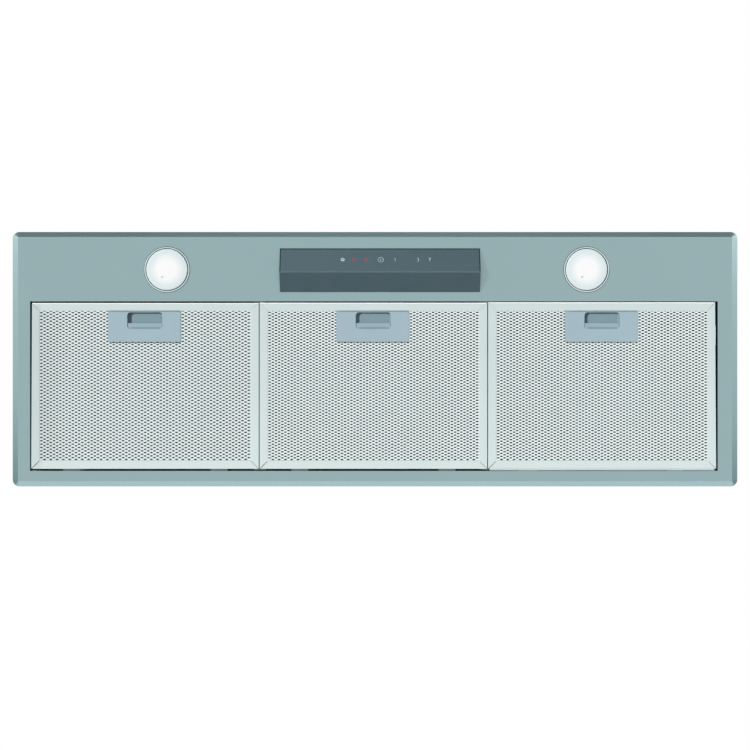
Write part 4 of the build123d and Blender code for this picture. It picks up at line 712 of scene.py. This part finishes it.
def make_handle(name, x):
    """The moulding with its plate, pocket and room; a liner of that room, darker as painted shade, with a
    painted shadow line before the plate; and the latch's grip.
    """
    def loop(box, inset, radius, z):
        x0, x1, y0, y1 = box
        return rounded_rect(x + x0 + inset, x + x1 - inset, y0 + inset, y1 - inset, radius, z, 8)

    def plate(inset, z):
        return loop(HANDLE_PLATE, inset, 1.2, z)

    def mouth(inset, z):
        return loop(HANDLE_MOUTH, inset, 3.8 - inset, z)

    def room(inset, z):
        return loop(HANDLE_ROOM, inset, 2.2 - inset, z)

    build = Build().rings([
        room(-0.6, -1.0), room(-0.6, -7.3), plate(0.3, -7.6), plate(0.0, -7.9), plate(0.06, -8.25),
        plate(0.16, -8.42), plate(0.3, -8.45), mouth(-0.25, -8.45), mouth(-0.1, -8.38), mouth(0.0, -8.15),
        mouth(0.05, -7.62), room(0.05, -7.6), room(0.35, -2.5), room(0.55, -2.15), room(0.95, -2.0),
    ])
    obj = build.make(f"filter_handle_{name}_moulding")
    slot0, slot1, y0, y1 = HANDLE_SLOT
    cut(obj, Build().block(x + slot0, x + slot1, y0, y1, -3.0, 1.0))
    smooth(obj, 42)
    settle(obj, HANDLE_PLASTIC, f"filter_{name}", [f"filter_handle_{name}"])
    # A liner coloured darker than the handle: painted shade in the room, and a painted shadow line before the
    # plate.
    shade_liner = Build().rings([
        mouth(0.04, -8.0), mouth(0.08, -7.65), room(0.1, -7.55), room(0.4, -3.2), room(0.9, -2.35),
        room(2.0, -2.12), room(1.9, -2.06), room(0.7, -2.25), room(0.3, -3.1), room(0.06, -7.5),
        mouth(0.06, -7.62), mouth(0.01, -8.0),
    ], caps=(False, False))
    shade_liner.block(x - 19.1, x + 18.9, -53.8, -43.3, -2.3, -2.1)  # floor, painted shade
    shade_liner.block(x - 43.8, x + 42.2, -57.15, -56.15, -8.2, -7.3)  # painted shadow line in front of the plate
    shade_liner.block(x - 16.8, x + 17.6, -38.3, -35.9, -7.85, -7.62)  # ledge behind the mouth, painted shade
    obj = smooth(shade_liner.make(f"filter_pocket_painted_shade_{name}"), 42)
    settle(obj, POCKET_PAINTED_SHADE, f"filter_{name}")
    grip = Build().rings([
        [(x + side, y, z) for y, z in (
            (-43.0, -6.2), (-43.05, -7.2), (-42.9, -7.42), (-42.6, -7.5), (-35.2, -7.5), (-35.0, -7.3),
            (-35.0, -7.06), (-42.2, -7.06), (-42.3, -6.2),
        )] for side in (-20.4, 20.2)
    ])
    grip.block(x - 11, x + 11, -47.6, -41.0, -0.88, -0.3)  # covers the room's slot when the latch is back
    obj = smooth(grip.make(f"latch_grip_{name}"), 42)
    settle(obj, GRIP_PLASTIC, f"latch_{name}")


def make_latch_spring(name):
    """The coil behind the grip, made at rest and carried by the filter."""
    x0, x1, y0, y1, z0, z1 = cad_box(f"latch_spring_{name}")
    x, z = (x0 + x1) / 2, (z0 + z1) / 2
    turns, steps, sides, wire = 6, 20, 8, 0.32
    radius = (x1 - x0) / 2 - wire
    rings = []
    for i in range(turns * steps + 1):
        turn = 2 * math.pi * i / steps
        along = y0 + wire + (y1 - y0 - 2 * wire) * i / (turns * steps)
        rings.append([
            (x + (radius + wire * math.cos(t)) * math.cos(turn), along + wire * math.sin(t),
             z + (radius + wire * math.cos(t)) * math.sin(turn))
            for t in (2 * math.pi * k / sides for k in range(sides))
        ])
    obj = smooth(Build().rings(rings).make(f"latch_coil_{name}"), 60, False)
    settle(obj, SPRING_STEEL, f"filter_{name}", [f"latch_spring_{name}"])
    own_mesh(obj)


def make_back_mesh(name, x):
    """The coarser sheet behind the grease pad."""
    half = FILTER_LENGTH / 2 - MESH_EDGE
    build = expanded_metal(x, half - 3, FILTER_Y[0] + 3, FILTER_Y[1] - 3, z=0.15, pitch=11.0,
                           step=3.2, hole=(3.4, 1.6), keep_out=(-24, 24, -70, -24), depth=-0.5, relief=-0.2)
    obj = smooth(mesh_object(f"back_mesh_{name}_strands", build.verts, build.faces), 50, False)
    settle(obj, MESH_METAL, f"filter_{name}", [f"back_mesh_{name}"])


# ---- Lamps ----
def make_lamps():
    """Both lamps: the chromed ring, the frosted glass, the rubber seals round them and a pip on the glass."""
    # radius, height
    ring = [
        (25.6, -7.47), (26.75, -7.5), (26.8, -8.5), (26.7, -8.85), (26.4, -9.05), (25.8, -9.08),
        (25.5, -8.95), (25.35, -8.6), (25.3, -7.0), (24.9, -6.6), (24.9, -2.2), (25.5, -2.2), (25.7, -6.2),
    ]
    dome = [
        (0.01, -9.95), (8, -9.93), (16, -9.85), (21, -9.74), (23.5, -9.62), (24.15, -9.42), (24.45, -9.0),
        (24.5, -8.3), (24.5, -7.4), (0.01, -7.4),
    ]
    outer_seal = [(26.7, -7.5), (27.4, -7.5), (27.5, -7.9), (27.45, -8.12), (26.7, -8.2)]
    inner_seal = [(24.45, -6.8), (25.3, -6.8), (25.3, -7.2), (24.45, -7.1)]
    pip = [(0.01, -10.05), (1.1, -10.02), (1.6, -9.88), (1.65, -9.3), (0.01, -9.3)]
    rings, glasses, seals, pips = Build(), Build(), Build(), Build()
    for x, y in LAMPS:
        rings.spun(ring, x, y, 96)
        glasses.spun(dome, x, y, 64)
        seals.spun(outer_seal, x, y, 96)
        seals.spun(inner_seal, x, y, 96)
        pips.spun(pip, x - 5.4, y + 8.8, 20)
    settle(smooth(rings.make("lamp_rings_turned"), 40), CHROME, "root", ["lamp_rings"])
    glass = smooth(glasses.make("lamp_glasses_frosted"), 40)
    settle(glass, lamp_glass(), "root", ["lamp_glasses"])
    settle(smooth(seals.make("lamp_seals"), 40), SEAL_RUBBER, "root")
    settle(smooth(pips.make("lamp_pips"), 40), PIP_PLASTIC, "root")


def lamp_glass():
    """Frosted, with a painted glow: brighter round each lamp's middle, where the light source stands behind
    it.
    """
    s = Surface("lamp_glass", rgb(226, 237, 238), 0.35)
    coords, split, centre = (s.add(f"ShaderNode{kind}") for kind in ("TexCoord", "SeparateXYZ", "CombineXYZ"))
    s.link(coords.outputs["Object"], split.inputs["Vector"])
    middle = (LAMPS[0][0] + LAMPS[1][0]) / 2
    beside = s.math("SUBTRACT", split.outputs["X"], middle * MM)
    s.link(s.math("ABSOLUTE", beside), centre.inputs["X"])
    s.link(split.outputs["Y"], centre.inputs["Y"])
    far = s.add("ShaderNodeVectorMath", operation="DISTANCE")
    far.inputs[1].default_value = ((LAMPS[1][0] - middle) * MM, LAMPS[1][1] * MM, 0)
    s.link(centre.outputs["Vector"], far.inputs[0])
    share = s.mapped(far.outputs["Value"], *PAINTED_GLOW_RADII, 0.0, 1.0)
    s.link(s.ramp(share, (0.0, 1.0), rgb(249, 249, 249), rgb(221, 232, 235)), s.shader.inputs["Base Color"])
    return s.relief(s.noise(1400, 3), 0.02)


# ---- Control panel ----
def fascia_place(x, along, proud):
    """From the fascia's own plane (x from its middle, along the slope towards the ridge) to the frame."""
    dy, dz = RIDGE[0] - PANEL[2], RIDGE[1] - PANEL_EDGE_Z
    length = math.hypot(dy, dz)
    dy, dz = dy / length, dz / length
    s = length / 2 + along
    return (PANEL[0] + PANEL[1]) / 2 + x, PANEL[2] + dy * s + dz * proud, PANEL_EDGE_Z + dz * s - dy * proud


def slope_slab(x0, x1, a0, a1, low, high):
    """A thin slab on the front slope, between two distances from its middle line."""
    corners = [fascia_place(x, a, h) for h in (low, high) for a in (a0, a1) for x in (x0, x1)]
    return Build().take(corners, BOX_FACES)


def make_panel():
    """The housing's wedge and neck, a pale strip on its ridge as a painted highlight, its glossy front fascia
    and the joint round that, dark as painted shade.
    """
    x0, x1, y0, y1 = PANEL
    profile = [(y0, -8.7), (y0, PANEL_EDGE_Z), RIDGE, (y1, PANEL_EDGE_Z), (y1, -8.7)]
    body = Build().rings([[(x, y, z) for y, z in profile] for x in (x0, x1)]).make("control_housing_wedge")
    smooth(rounded_edges(body, 0.5, 3), 30)
    settle(body, PANEL_PLASTIC, "root", ["control_housing"])
    neck = Build().block(x0 + 4, x1 - 4, y0 + 4, y1 - 4, -8.9, -4.2).make("control_housing_neck")
    settle(smooth(rounded_edges(neck, 0.8), 35), PANEL_PLASTIC, "root")
    half = (x1 - x0) / 2
    length = math.hypot(RIDGE[0] - y0, RIDGE[1] - PANEL_EDGE_Z) / 2
    # The joint round the fascia, dark as painted shade of its edge and gap.
    joint = Build()
    for slab in (
        (-half + 0.1, half - 0.1, -length + 0.05, -length + 1.3),
        (-half, -half + FASCIA_JOINT, -length, length - 0.4),
        (half - FASCIA_JOINT, half, -length, length - 0.4),
    ):
        part = slope_slab(*slab, -0.3, 0.09)
        joint.take(part.verts, part.faces)
    settle(joint.make("control_joint_painted_shade"), PANEL_SHADE_LINE, "root")
    # A pale strip along the ridge: a painted highlight.
    ridge = Build().rings([
        [(x, RIDGE[0] + RIDGE_RADIUS * math.cos(turn), RIDGE[1] + 0.4 + RIDGE_RADIUS * math.sin(turn))
         for turn in (math.pi * i / 5 for i in range(10))]
        for x in (x0 + 0.5, x1 - 0.5)
    ]).make("control_ridge_highlight")
    settle(smooth(ridge, 60), PANEL_RIDGE_HIGHLIGHT, "root")
    reach = half - FASCIA_JOINT - 0.05
    fascia = slope_slab(-reach, reach, -length + 1.4, length - 0.45, -0.4, 0.12).make("control_fascia_sheet")
    smooth(rounded_edges(fascia, 0.12), 30)
    settle(fascia, FASCIA_PLASTIC, "root", ["control_fascia"])


def ribbon(build, points, width, closed=False):
    """A flat stroke of even width along a path on the fascia."""
    n = len(points)
    left, right = [], []
    for i, (px, py) in enumerate(points):
        before = points[(i - 1) % n] if closed or i else points[i]
        after = points[(i + 1) % n] if closed or i < n - 1 else points[i]
        dx, dy = after[0] - before[0], after[1] - before[1]
        size = math.hypot(dx, dy) or 1
        nx, ny = -dy / size * width / 2, dx / size * width / 2
        left.append((px + nx, py + ny))
        right.append((px - nx, py - ny))
    low_left, low_right, top_left, top_right = (n * k for k in range(4))
    faces = []
    for i in range(n if closed else n - 1):
        j = (i + 1) % n
        faces += [
            (top_left + i, top_left + j, top_right + j, top_right + i),
            (low_left + j, low_left + i, low_right + i, low_right + j),
            (low_left + i, low_left + j, top_left + j, top_left + i),
            (low_right + j, low_right + i, top_right + i, top_right + j),
        ]
    if not closed:
        faces += [(low_left + i, low_right + i, top_right + i, top_left + i) for i in (0, n - 1)]
    build.take([fascia_place(px, py, h) for h in SYMBOL_HEIGHTS for px, py in left + right], faces)


def arc(cx, cy, radius, start, end, steps):
    """Points along an arc between two directions in degrees."""
    turns = [math.radians(start + (end - start) * i / steps) for i in range(steps + 1)]
    return [(cx + radius * math.cos(turn), cy + radius * math.sin(turn)) for turn in turns]


def make_symbols():
    """The raised symbols on the fascia."""
    pale, red, dim = Build(), Build(), Build()

    def at(x, points):
        """Symbol points with y up on the panel as the cook reads it."""
        return [(x - SYMBOL_MIDDLE + px, SYMBOL_ROW - py) for px, py in points]

    x = -38.3  # light: a disc with its rays
    ribbon(pale, at(x, arc(0, 0, 1.45, 0, 360, 24)[:-1]), 1.1, True)
    for turn in range(0, 360, 45):
        way = (math.cos(math.radians(turn)), math.sin(math.radians(turn)))
        ribbon(pale, at(x, [(r * way[0], r * way[1]) for r in (2.1, 2.9)]), 0.6)
    for x in (-25.0, -10.8):  # filter due: a small grille
        ribbon(red, at(x, [(-2.1, 1.7), (2.1, 1.7), (2.1, -1.7), (-2.1, -1.7)]), STROKE, True)
        for bar in (-0.7, 0.0, 0.7):
            ribbon(red, at(x, [(bar * 1.7, 1.1), (bar * 1.7, -1.1)]), 0.45)
    x = 6.7  # power: a bar in a ring
    ribbon(pale, at(x, arc(0, 0, 3.15, 0, 360, 48)[:-1]), STROKE, True)
    ribbon(pale, at(x, [(0, -1.4), (0, 1.4)]), 0.7)
    x = 23.7  # 1
    ribbon(pale, at(x, [(-0.9, 1.2), (0.1, 2.0), (0.1, -2.0)]), STROKE)
    x = 37.3  # 2
    ribbon(dim, at(x, arc(0, 0.9, 1.1, 160, -35, 16) + [(-1.2, -1.9), (1.3, -1.9)]), STROKE)
    x = 50.7  # 3
    ribbon(pale, at(x, arc(-0.1, 1.0, 1.0, 150, -90, 16)), STROKE)
    ribbon(pale, at(x, arc(-0.1, -0.95, 1.05, 90, -150, 16)), STROKE)
    x = 64.7  # full power: an arrow up to a bar
    ribbon(pale, at(x, [(-1.7, 2.2), (1.7, 2.2)]), STROKE)
    ribbon(pale, at(x, [(0, -2.2), (0, 1.6)]), STROKE)
    ribbon(pale, at(x, [(-0.9, 0.7), (0, 1.6), (0.9, 0.7)]), 0.36)
    settle(pale.make("symbols_pale"), SYMBOL_PALE, "root")
    settle(red.make("symbols_red"), SYMBOL_RED, "root")
    settle(dim.make("symbol_two"), SYMBOL_DIM_RED, "root")


# ---- Casing details ----
def bead(build, centre, along, up, length):
    """A pressed stiffening bead: a low rounded ridge with tapered ends, on a wall whose outward way is up."""
    centre, along, up = Vector(centre), Vector(along), Vector(up)
    across = up.cross(along)
    rings = []
    steps = 8
    for share, scale in ((-0.5, 0.0), (-0.495, 0.35), (-0.485, 0.7), (-0.47, 0.95), (-0.45, 1.0), (0.45, 1.0),
                         (0.47, 0.95), (0.485, 0.7), (0.495, 0.35), (0.5, 0.0)):
        ring = []
        for i in range(steps + 1):
            turn = math.pi * i / steps
            side = -math.cos(turn) * BEAD_WIDTH / 2 * (0.25 + 0.75 * scale)
            lift = math.sin(turn) ** 1.6 * BEAD_HEIGHT * scale
            ring.append(tuple(centre + along * (share * length) + across * side + up * (lift - 0.02)))
        rings.append(ring)
    n = steps + 1
    faces = []
    for a in range(len(rings) - 1):
        faces += [(a * n + i, a * n + i + 1, (a + 1) * n + i + 1, (a + 1) * n + i) for i in range(n - 1)]
    build.take([p for ring in rings for p in ring], faces)


def rivet(build, centre, up, radius=2.4, height=1.0):
    """A domed head on a wall whose outward way is up."""
    up = Vector(up)
    one = up.orthogonal().normalized()
    two = up.cross(one)
    turns = [2 * math.pi * i / 14 for i in range(14)]
    rings = []
    for share, lift in ((1.0, -0.02), (0.97, 0.35), (0.8, 0.75), (0.45, 0.97), (0.05, 1.0)):
        middle, reach = Vector(centre) + up * height * lift, radius * share
        rings.append([tuple((one * math.cos(t) + two * math.sin(t)) * reach + middle) for t in turns])
    build.rings(rings)


def make_casing_details():
    """Beads, folds, laps and rivets of the zinc coated casing."""
    x0, x1, y0, y1 = HOUSING
    tx0, tx1, ty0, ty1 = TOWER
    beads, rivets = Build(), Build()
    for z in (34, 78):
        for cx in (-270, 0, 270):
            for y, up in ((y0, FRONT), (y1, REAR)):
                bead(beads, (cx, y, z), RIGHT, up, 220)
    for cx in (-90, 0, 90):
        for y, up in ((ty0, FRONT), (ty1, REAR)):
            bead(beads, (cx, y, 232), UP, up, 170)
    for cy in (-70, 2, 74):
        for x, up in ((tx0, LEFT), (tx1, RIGHT)):
            bead(beads, (x, cy, 232), UP, up, 170)
    for cx, places in ((-290, (80, 110)), (290, (-90, -45, 0, 45, 90))):
        for cy in places:
            bead(beads, (cx, cy, HOUSING_TOP), RIGHT, UP, 170)
    for i in range(9):
        for y, up in ((y0, FRONT), (y1, REAR)):
            rivet(rivets, (-376 + 94 * i, y, 103), up)
    for i in range(4):
        for x, up in ((x0, LEFT), (x1, RIGHT)):
            rivet(rivets, (x, -112 + 78 * i, 103), up)
    for z in (130, 190, 250, 310):
        for x, up in ((tx0, LEFT), (tx1, RIGHT)):
            rivet(rivets, (x, ty0 + 10, z), up)
            rivet(rivets, (x, ty1 - 10, z), up)
    folds = Build()
    for (left, right, front, rear), foot, top, heights in (
        (HOUSING, 3.0, HOUSING_TOP, range(18, 110, 26)), (TOWER, 118.0, TOWER_TOP, range(150, 348, 32)),
    ):
        for x, way in ((left, 1), (right, -1)):
            for y, side in ((front, -1), (rear, 1)):
                folds.block(*sorted((x, x + way * LAP)), *sorted((y, y + side * SHEET)), foot, top - 0.4)
                for z in heights:
                    rivet(rivets, (x + way * LAP / 2, y + side * SHEET, z), (0, side, 0), 1.7, 0.5)
        folds.block(left + 0.4, right - 0.4, front + 0.4, front + LAP, top, top + SHEET)
        folds.block(left + 0.4, right - 0.4, rear - LAP, rear - 0.4, top, top + SHEET)
    for y, side in ((y0, -1), (y1, 1)):
        folds.block(x0 + LAP + 1, x1 - LAP - 1, *sorted((y, y + side * SHEET)), 0.6, 9.0)
    for x, way in ((tx0, -1), (tx1, 1)):
        folds.block(*sorted((x, x + way * SHEET)), ty0 + 0.5, ty1 - 0.5, HOUSING_TOP + 1.5, HOUSING_TOP + 12)
    sheets = folds.make("casing_folds")
    settle(smooth(rounded_edges(sheets, 0.25, 2, 60), 40), GALVANISED, "root")
    settle(smooth(beads.make("casing_beads"), 60), GALVANISED, "root")
    settle(smooth(rivets.make("casing_rivets"), 50), SCREW_STEEL, "root")


# ---- Everything ----
make_plate()
for name, x in FILTER_X.items():
    make_filter_frame(name, x)
    make_front_mesh(name, x)
    make_back_mesh(name, x)
    make_handle(name, x)
    softened(f"latch_slider_{name}", HANDLE_PLASTIC, 0.25)
    dressed(PAD_PAINTED_SHADE, f"grease_pad_{name}")
    make_latch_spring(name)
make_lamps()
make_panel()
make_symbols()
for node in ("lower_housing", "motor_tower", "clamp_brackets"):
    softened(node, GALVANISED, 0.3)
make_casing_details()
softened("duct_spigot", BLACK_PLASTIC, 0.5)
softened("electronics_box", BOX_PLASTIC, 0.6)
softened("electronics_lid", BOX_PLASTIC, 0.8, 3)
softened("cable_gland", BLACK_PLASTIC, 0.5)
for node in ("flap_front", "flap_rear"):
    softened(node, BLACK_PLASTIC, 0.25)
dressed(GALVANISED, "divider_bars", "blower_scroll", "motor_spider")
dressed(CAST, "lamp_cans", "motor_can")
dressed(REFLECTOR, "lamp_reflectors")
dressed(SPRING_STEEL, "lamp_clips", "flap_axle", "motor_shaft")
dressed(BLACK_PLASTIC, "fan_wheel")
dressed(RUBBER, "rubber_mounts")
dressed(BOARD, "control_board", "power_board")
dressed(CAPACITOR, "run_capacitor")
dressed(LIGHT_GUIDE, "light_guides")
softened("casing_screws", SCREW_STEEL, 0.3)
for place in ("left_front", "left_rear", "right_front", "right_rear"):
    softened(f"clamp_screw_{place}", SCREW_STEEL, 0.3)
    softened(f"clamp_dog_{place}", DOG_STEEL, 0.5)


# ---- Camera, light and floor, in metres ----
CAMERA_PLACE = (0.0, 0.0187, -2.008)
CAMERA_LENS = 80.9
WARM = (1.0, 0.965, 0.92)
FLOOR_Z = -4.0
FLOOR_HALF = 20.0
FLOOR_FADE = (4.5, 12.0, 0.8, 1.0)  # between these distances, from 0.8 of its own light to all of it
ROOM_LIGHT = 0.25
CARD_CLOTH = moulded("card_cloth", rgb(100, 150, 148), 0.9)


def softbox(name, place, target, size, power, color):
    """A rectangular lamp that looks at a point."""
    data = bpy.data.lights.new(name, "AREA")
    data.shape = "RECTANGLE"
    data.size, data.size_y = size
    data.energy = power
    data.color = color
    obj = placed(name, data)
    obj.location = place
    obj.rotation_euler = (Vector(target) - Vector(place)).to_track_quat("-Z", "Y").to_euler()


def sun(name, towards, strength, softness):
    """Light from one way, which metal doesn't mirror."""
    data = bpy.data.lights.new(name, "SUN")
    data.energy = strength
    data.angle = math.radians(softness)
    obj = placed(name, data)
    obj.rotation_euler = Vector(towards).to_track_quat("-Z", "Y").to_euler()
    obj.visible_glossy = False


def stage_sheet(name, surface, *corners):
    """A flat piece of the stage."""
    mesh = bpy.data.meshes.new(name)
    mesh.from_pydata(corners, [], [(0, 1, 2, 3)])
    mesh.materials.append(surface.mat)
    return placed(name, mesh)


def card(name, x0, x1, y0, y1, z0, z1):
    """An upright card that shapes what the metal reflects, unseen by the camera."""
    obj = stage_sheet(name, CARD_CLOTH, (x0, y0, z0), (x1, y1, z0), (x1, y1, z1), (x0, y0, z1))
    obj.visible_camera = False


def make_floor():
    """A white floor far below, bright in itself for the camera, in metal and through glass."""
    half, z = FLOOR_HALF, FLOOR_Z
    cloth = moulded("floor", rgb(240, 240, 240), 0.8, 3, 0.5, 0.005)
    corners = ((-half, -half, z), (half, -half, z), (half, half, z), (-half, half, z))
    floor = stage_sheet("floor", cloth, *corners)
    kinds = ("Emission", "MixShader", "LightPath", "TexCoord", "VectorMath")
    glow, mix, path, coords, distance = (cloth.add(f"ShaderNode{kind}") for kind in kinds)
    distance.operation = "LENGTH"
    cloth.link(coords.outputs["Object"], distance.inputs[0])
    faded = cloth.mapped(distance.outputs["Value"], *FLOOR_FADE)
    direct = cloth.math("MULTIPLY", path.outputs["Is Camera Ray"], faded)
    cloth.link(cloth.shown(path, direct), mix.inputs[0])
    cloth.link(cloth.shader.outputs[0], mix.inputs[1])
    cloth.link(glow.outputs[0], mix.inputs[2])
    cloth.link(mix.outputs[0], cloth.tree.nodes["Material Output"].inputs["Surface"])
    floor.visible_shadow = False
    floor.visible_diffuse = False


def make_world():
    """White behind everything, but only ROOM_LIGHT as bright where it lights the object."""
    world = bpy.data.worlds.new("studio")
    bpy.context.scene.world = world
    world.use_nodes = True
    sky = world.node_tree.nodes["Background"]
    sky.inputs["Color"].default_value = (1, 1, 1, 1)
    air = Nodes(world.node_tree)
    path = air.add("ShaderNodeLightPath")
    seen = air.shown(path, path.outputs["Is Camera Ray"])
    air.link(air.mapped(seen, 0.0, 1.0, ROOM_LIGHT, 1.0), sky.inputs["Strength"])


camera = placed("camera", bpy.data.cameras.new("camera"))
camera.location = CAMERA_PLACE
camera.rotation_euler = (math.pi, 0, 0)
camera.data.sensor_width = 36
camera.data.lens = CAMERA_LENS
camera.data.clip_end = 50
bpy.context.scene.camera = camera
card("card_front_left", -2.6, -0.55, -2.2, -2.2, -1.65, 0.13)
card("card_front_middle", -0.55, 0.55, -2.2, -2.2, -1.65, -0.06)
card("card_front_right", 0.55, 2.6, -2.2, -2.2, -1.65, 0.13)
card("card_left", -0.95, -0.95, 0.12, 0.7, -0.26, 0.03)
card("card_right", 0.95, 0.95, 0.14, 0.7, -0.22, 0.03)
sun("key", (0.578, 0.21, 0.788), 2.9, 6)
sun("above", (-0.45, 0.5, -0.75), 2.2, 8)
softbox("rear", (0, 2.2, -0.75), (0, 0.1, 0), (3.0, 0.7), 5.9, (1.0, 0.985, 0.95))
softbox("side_left", (-0.95, -0.32, -0.2), (-0.4, -0.13, 0), (0.3, 0.3), 0.4, WARM)
softbox("side_right", (0.95, -0.32, -0.2), (0.4, -0.13, 0), (0.3, 0.3), 0.55, WARM)
make_floor()
make_world()
bpy.context.scene.view_settings.view_transform = "Standard"
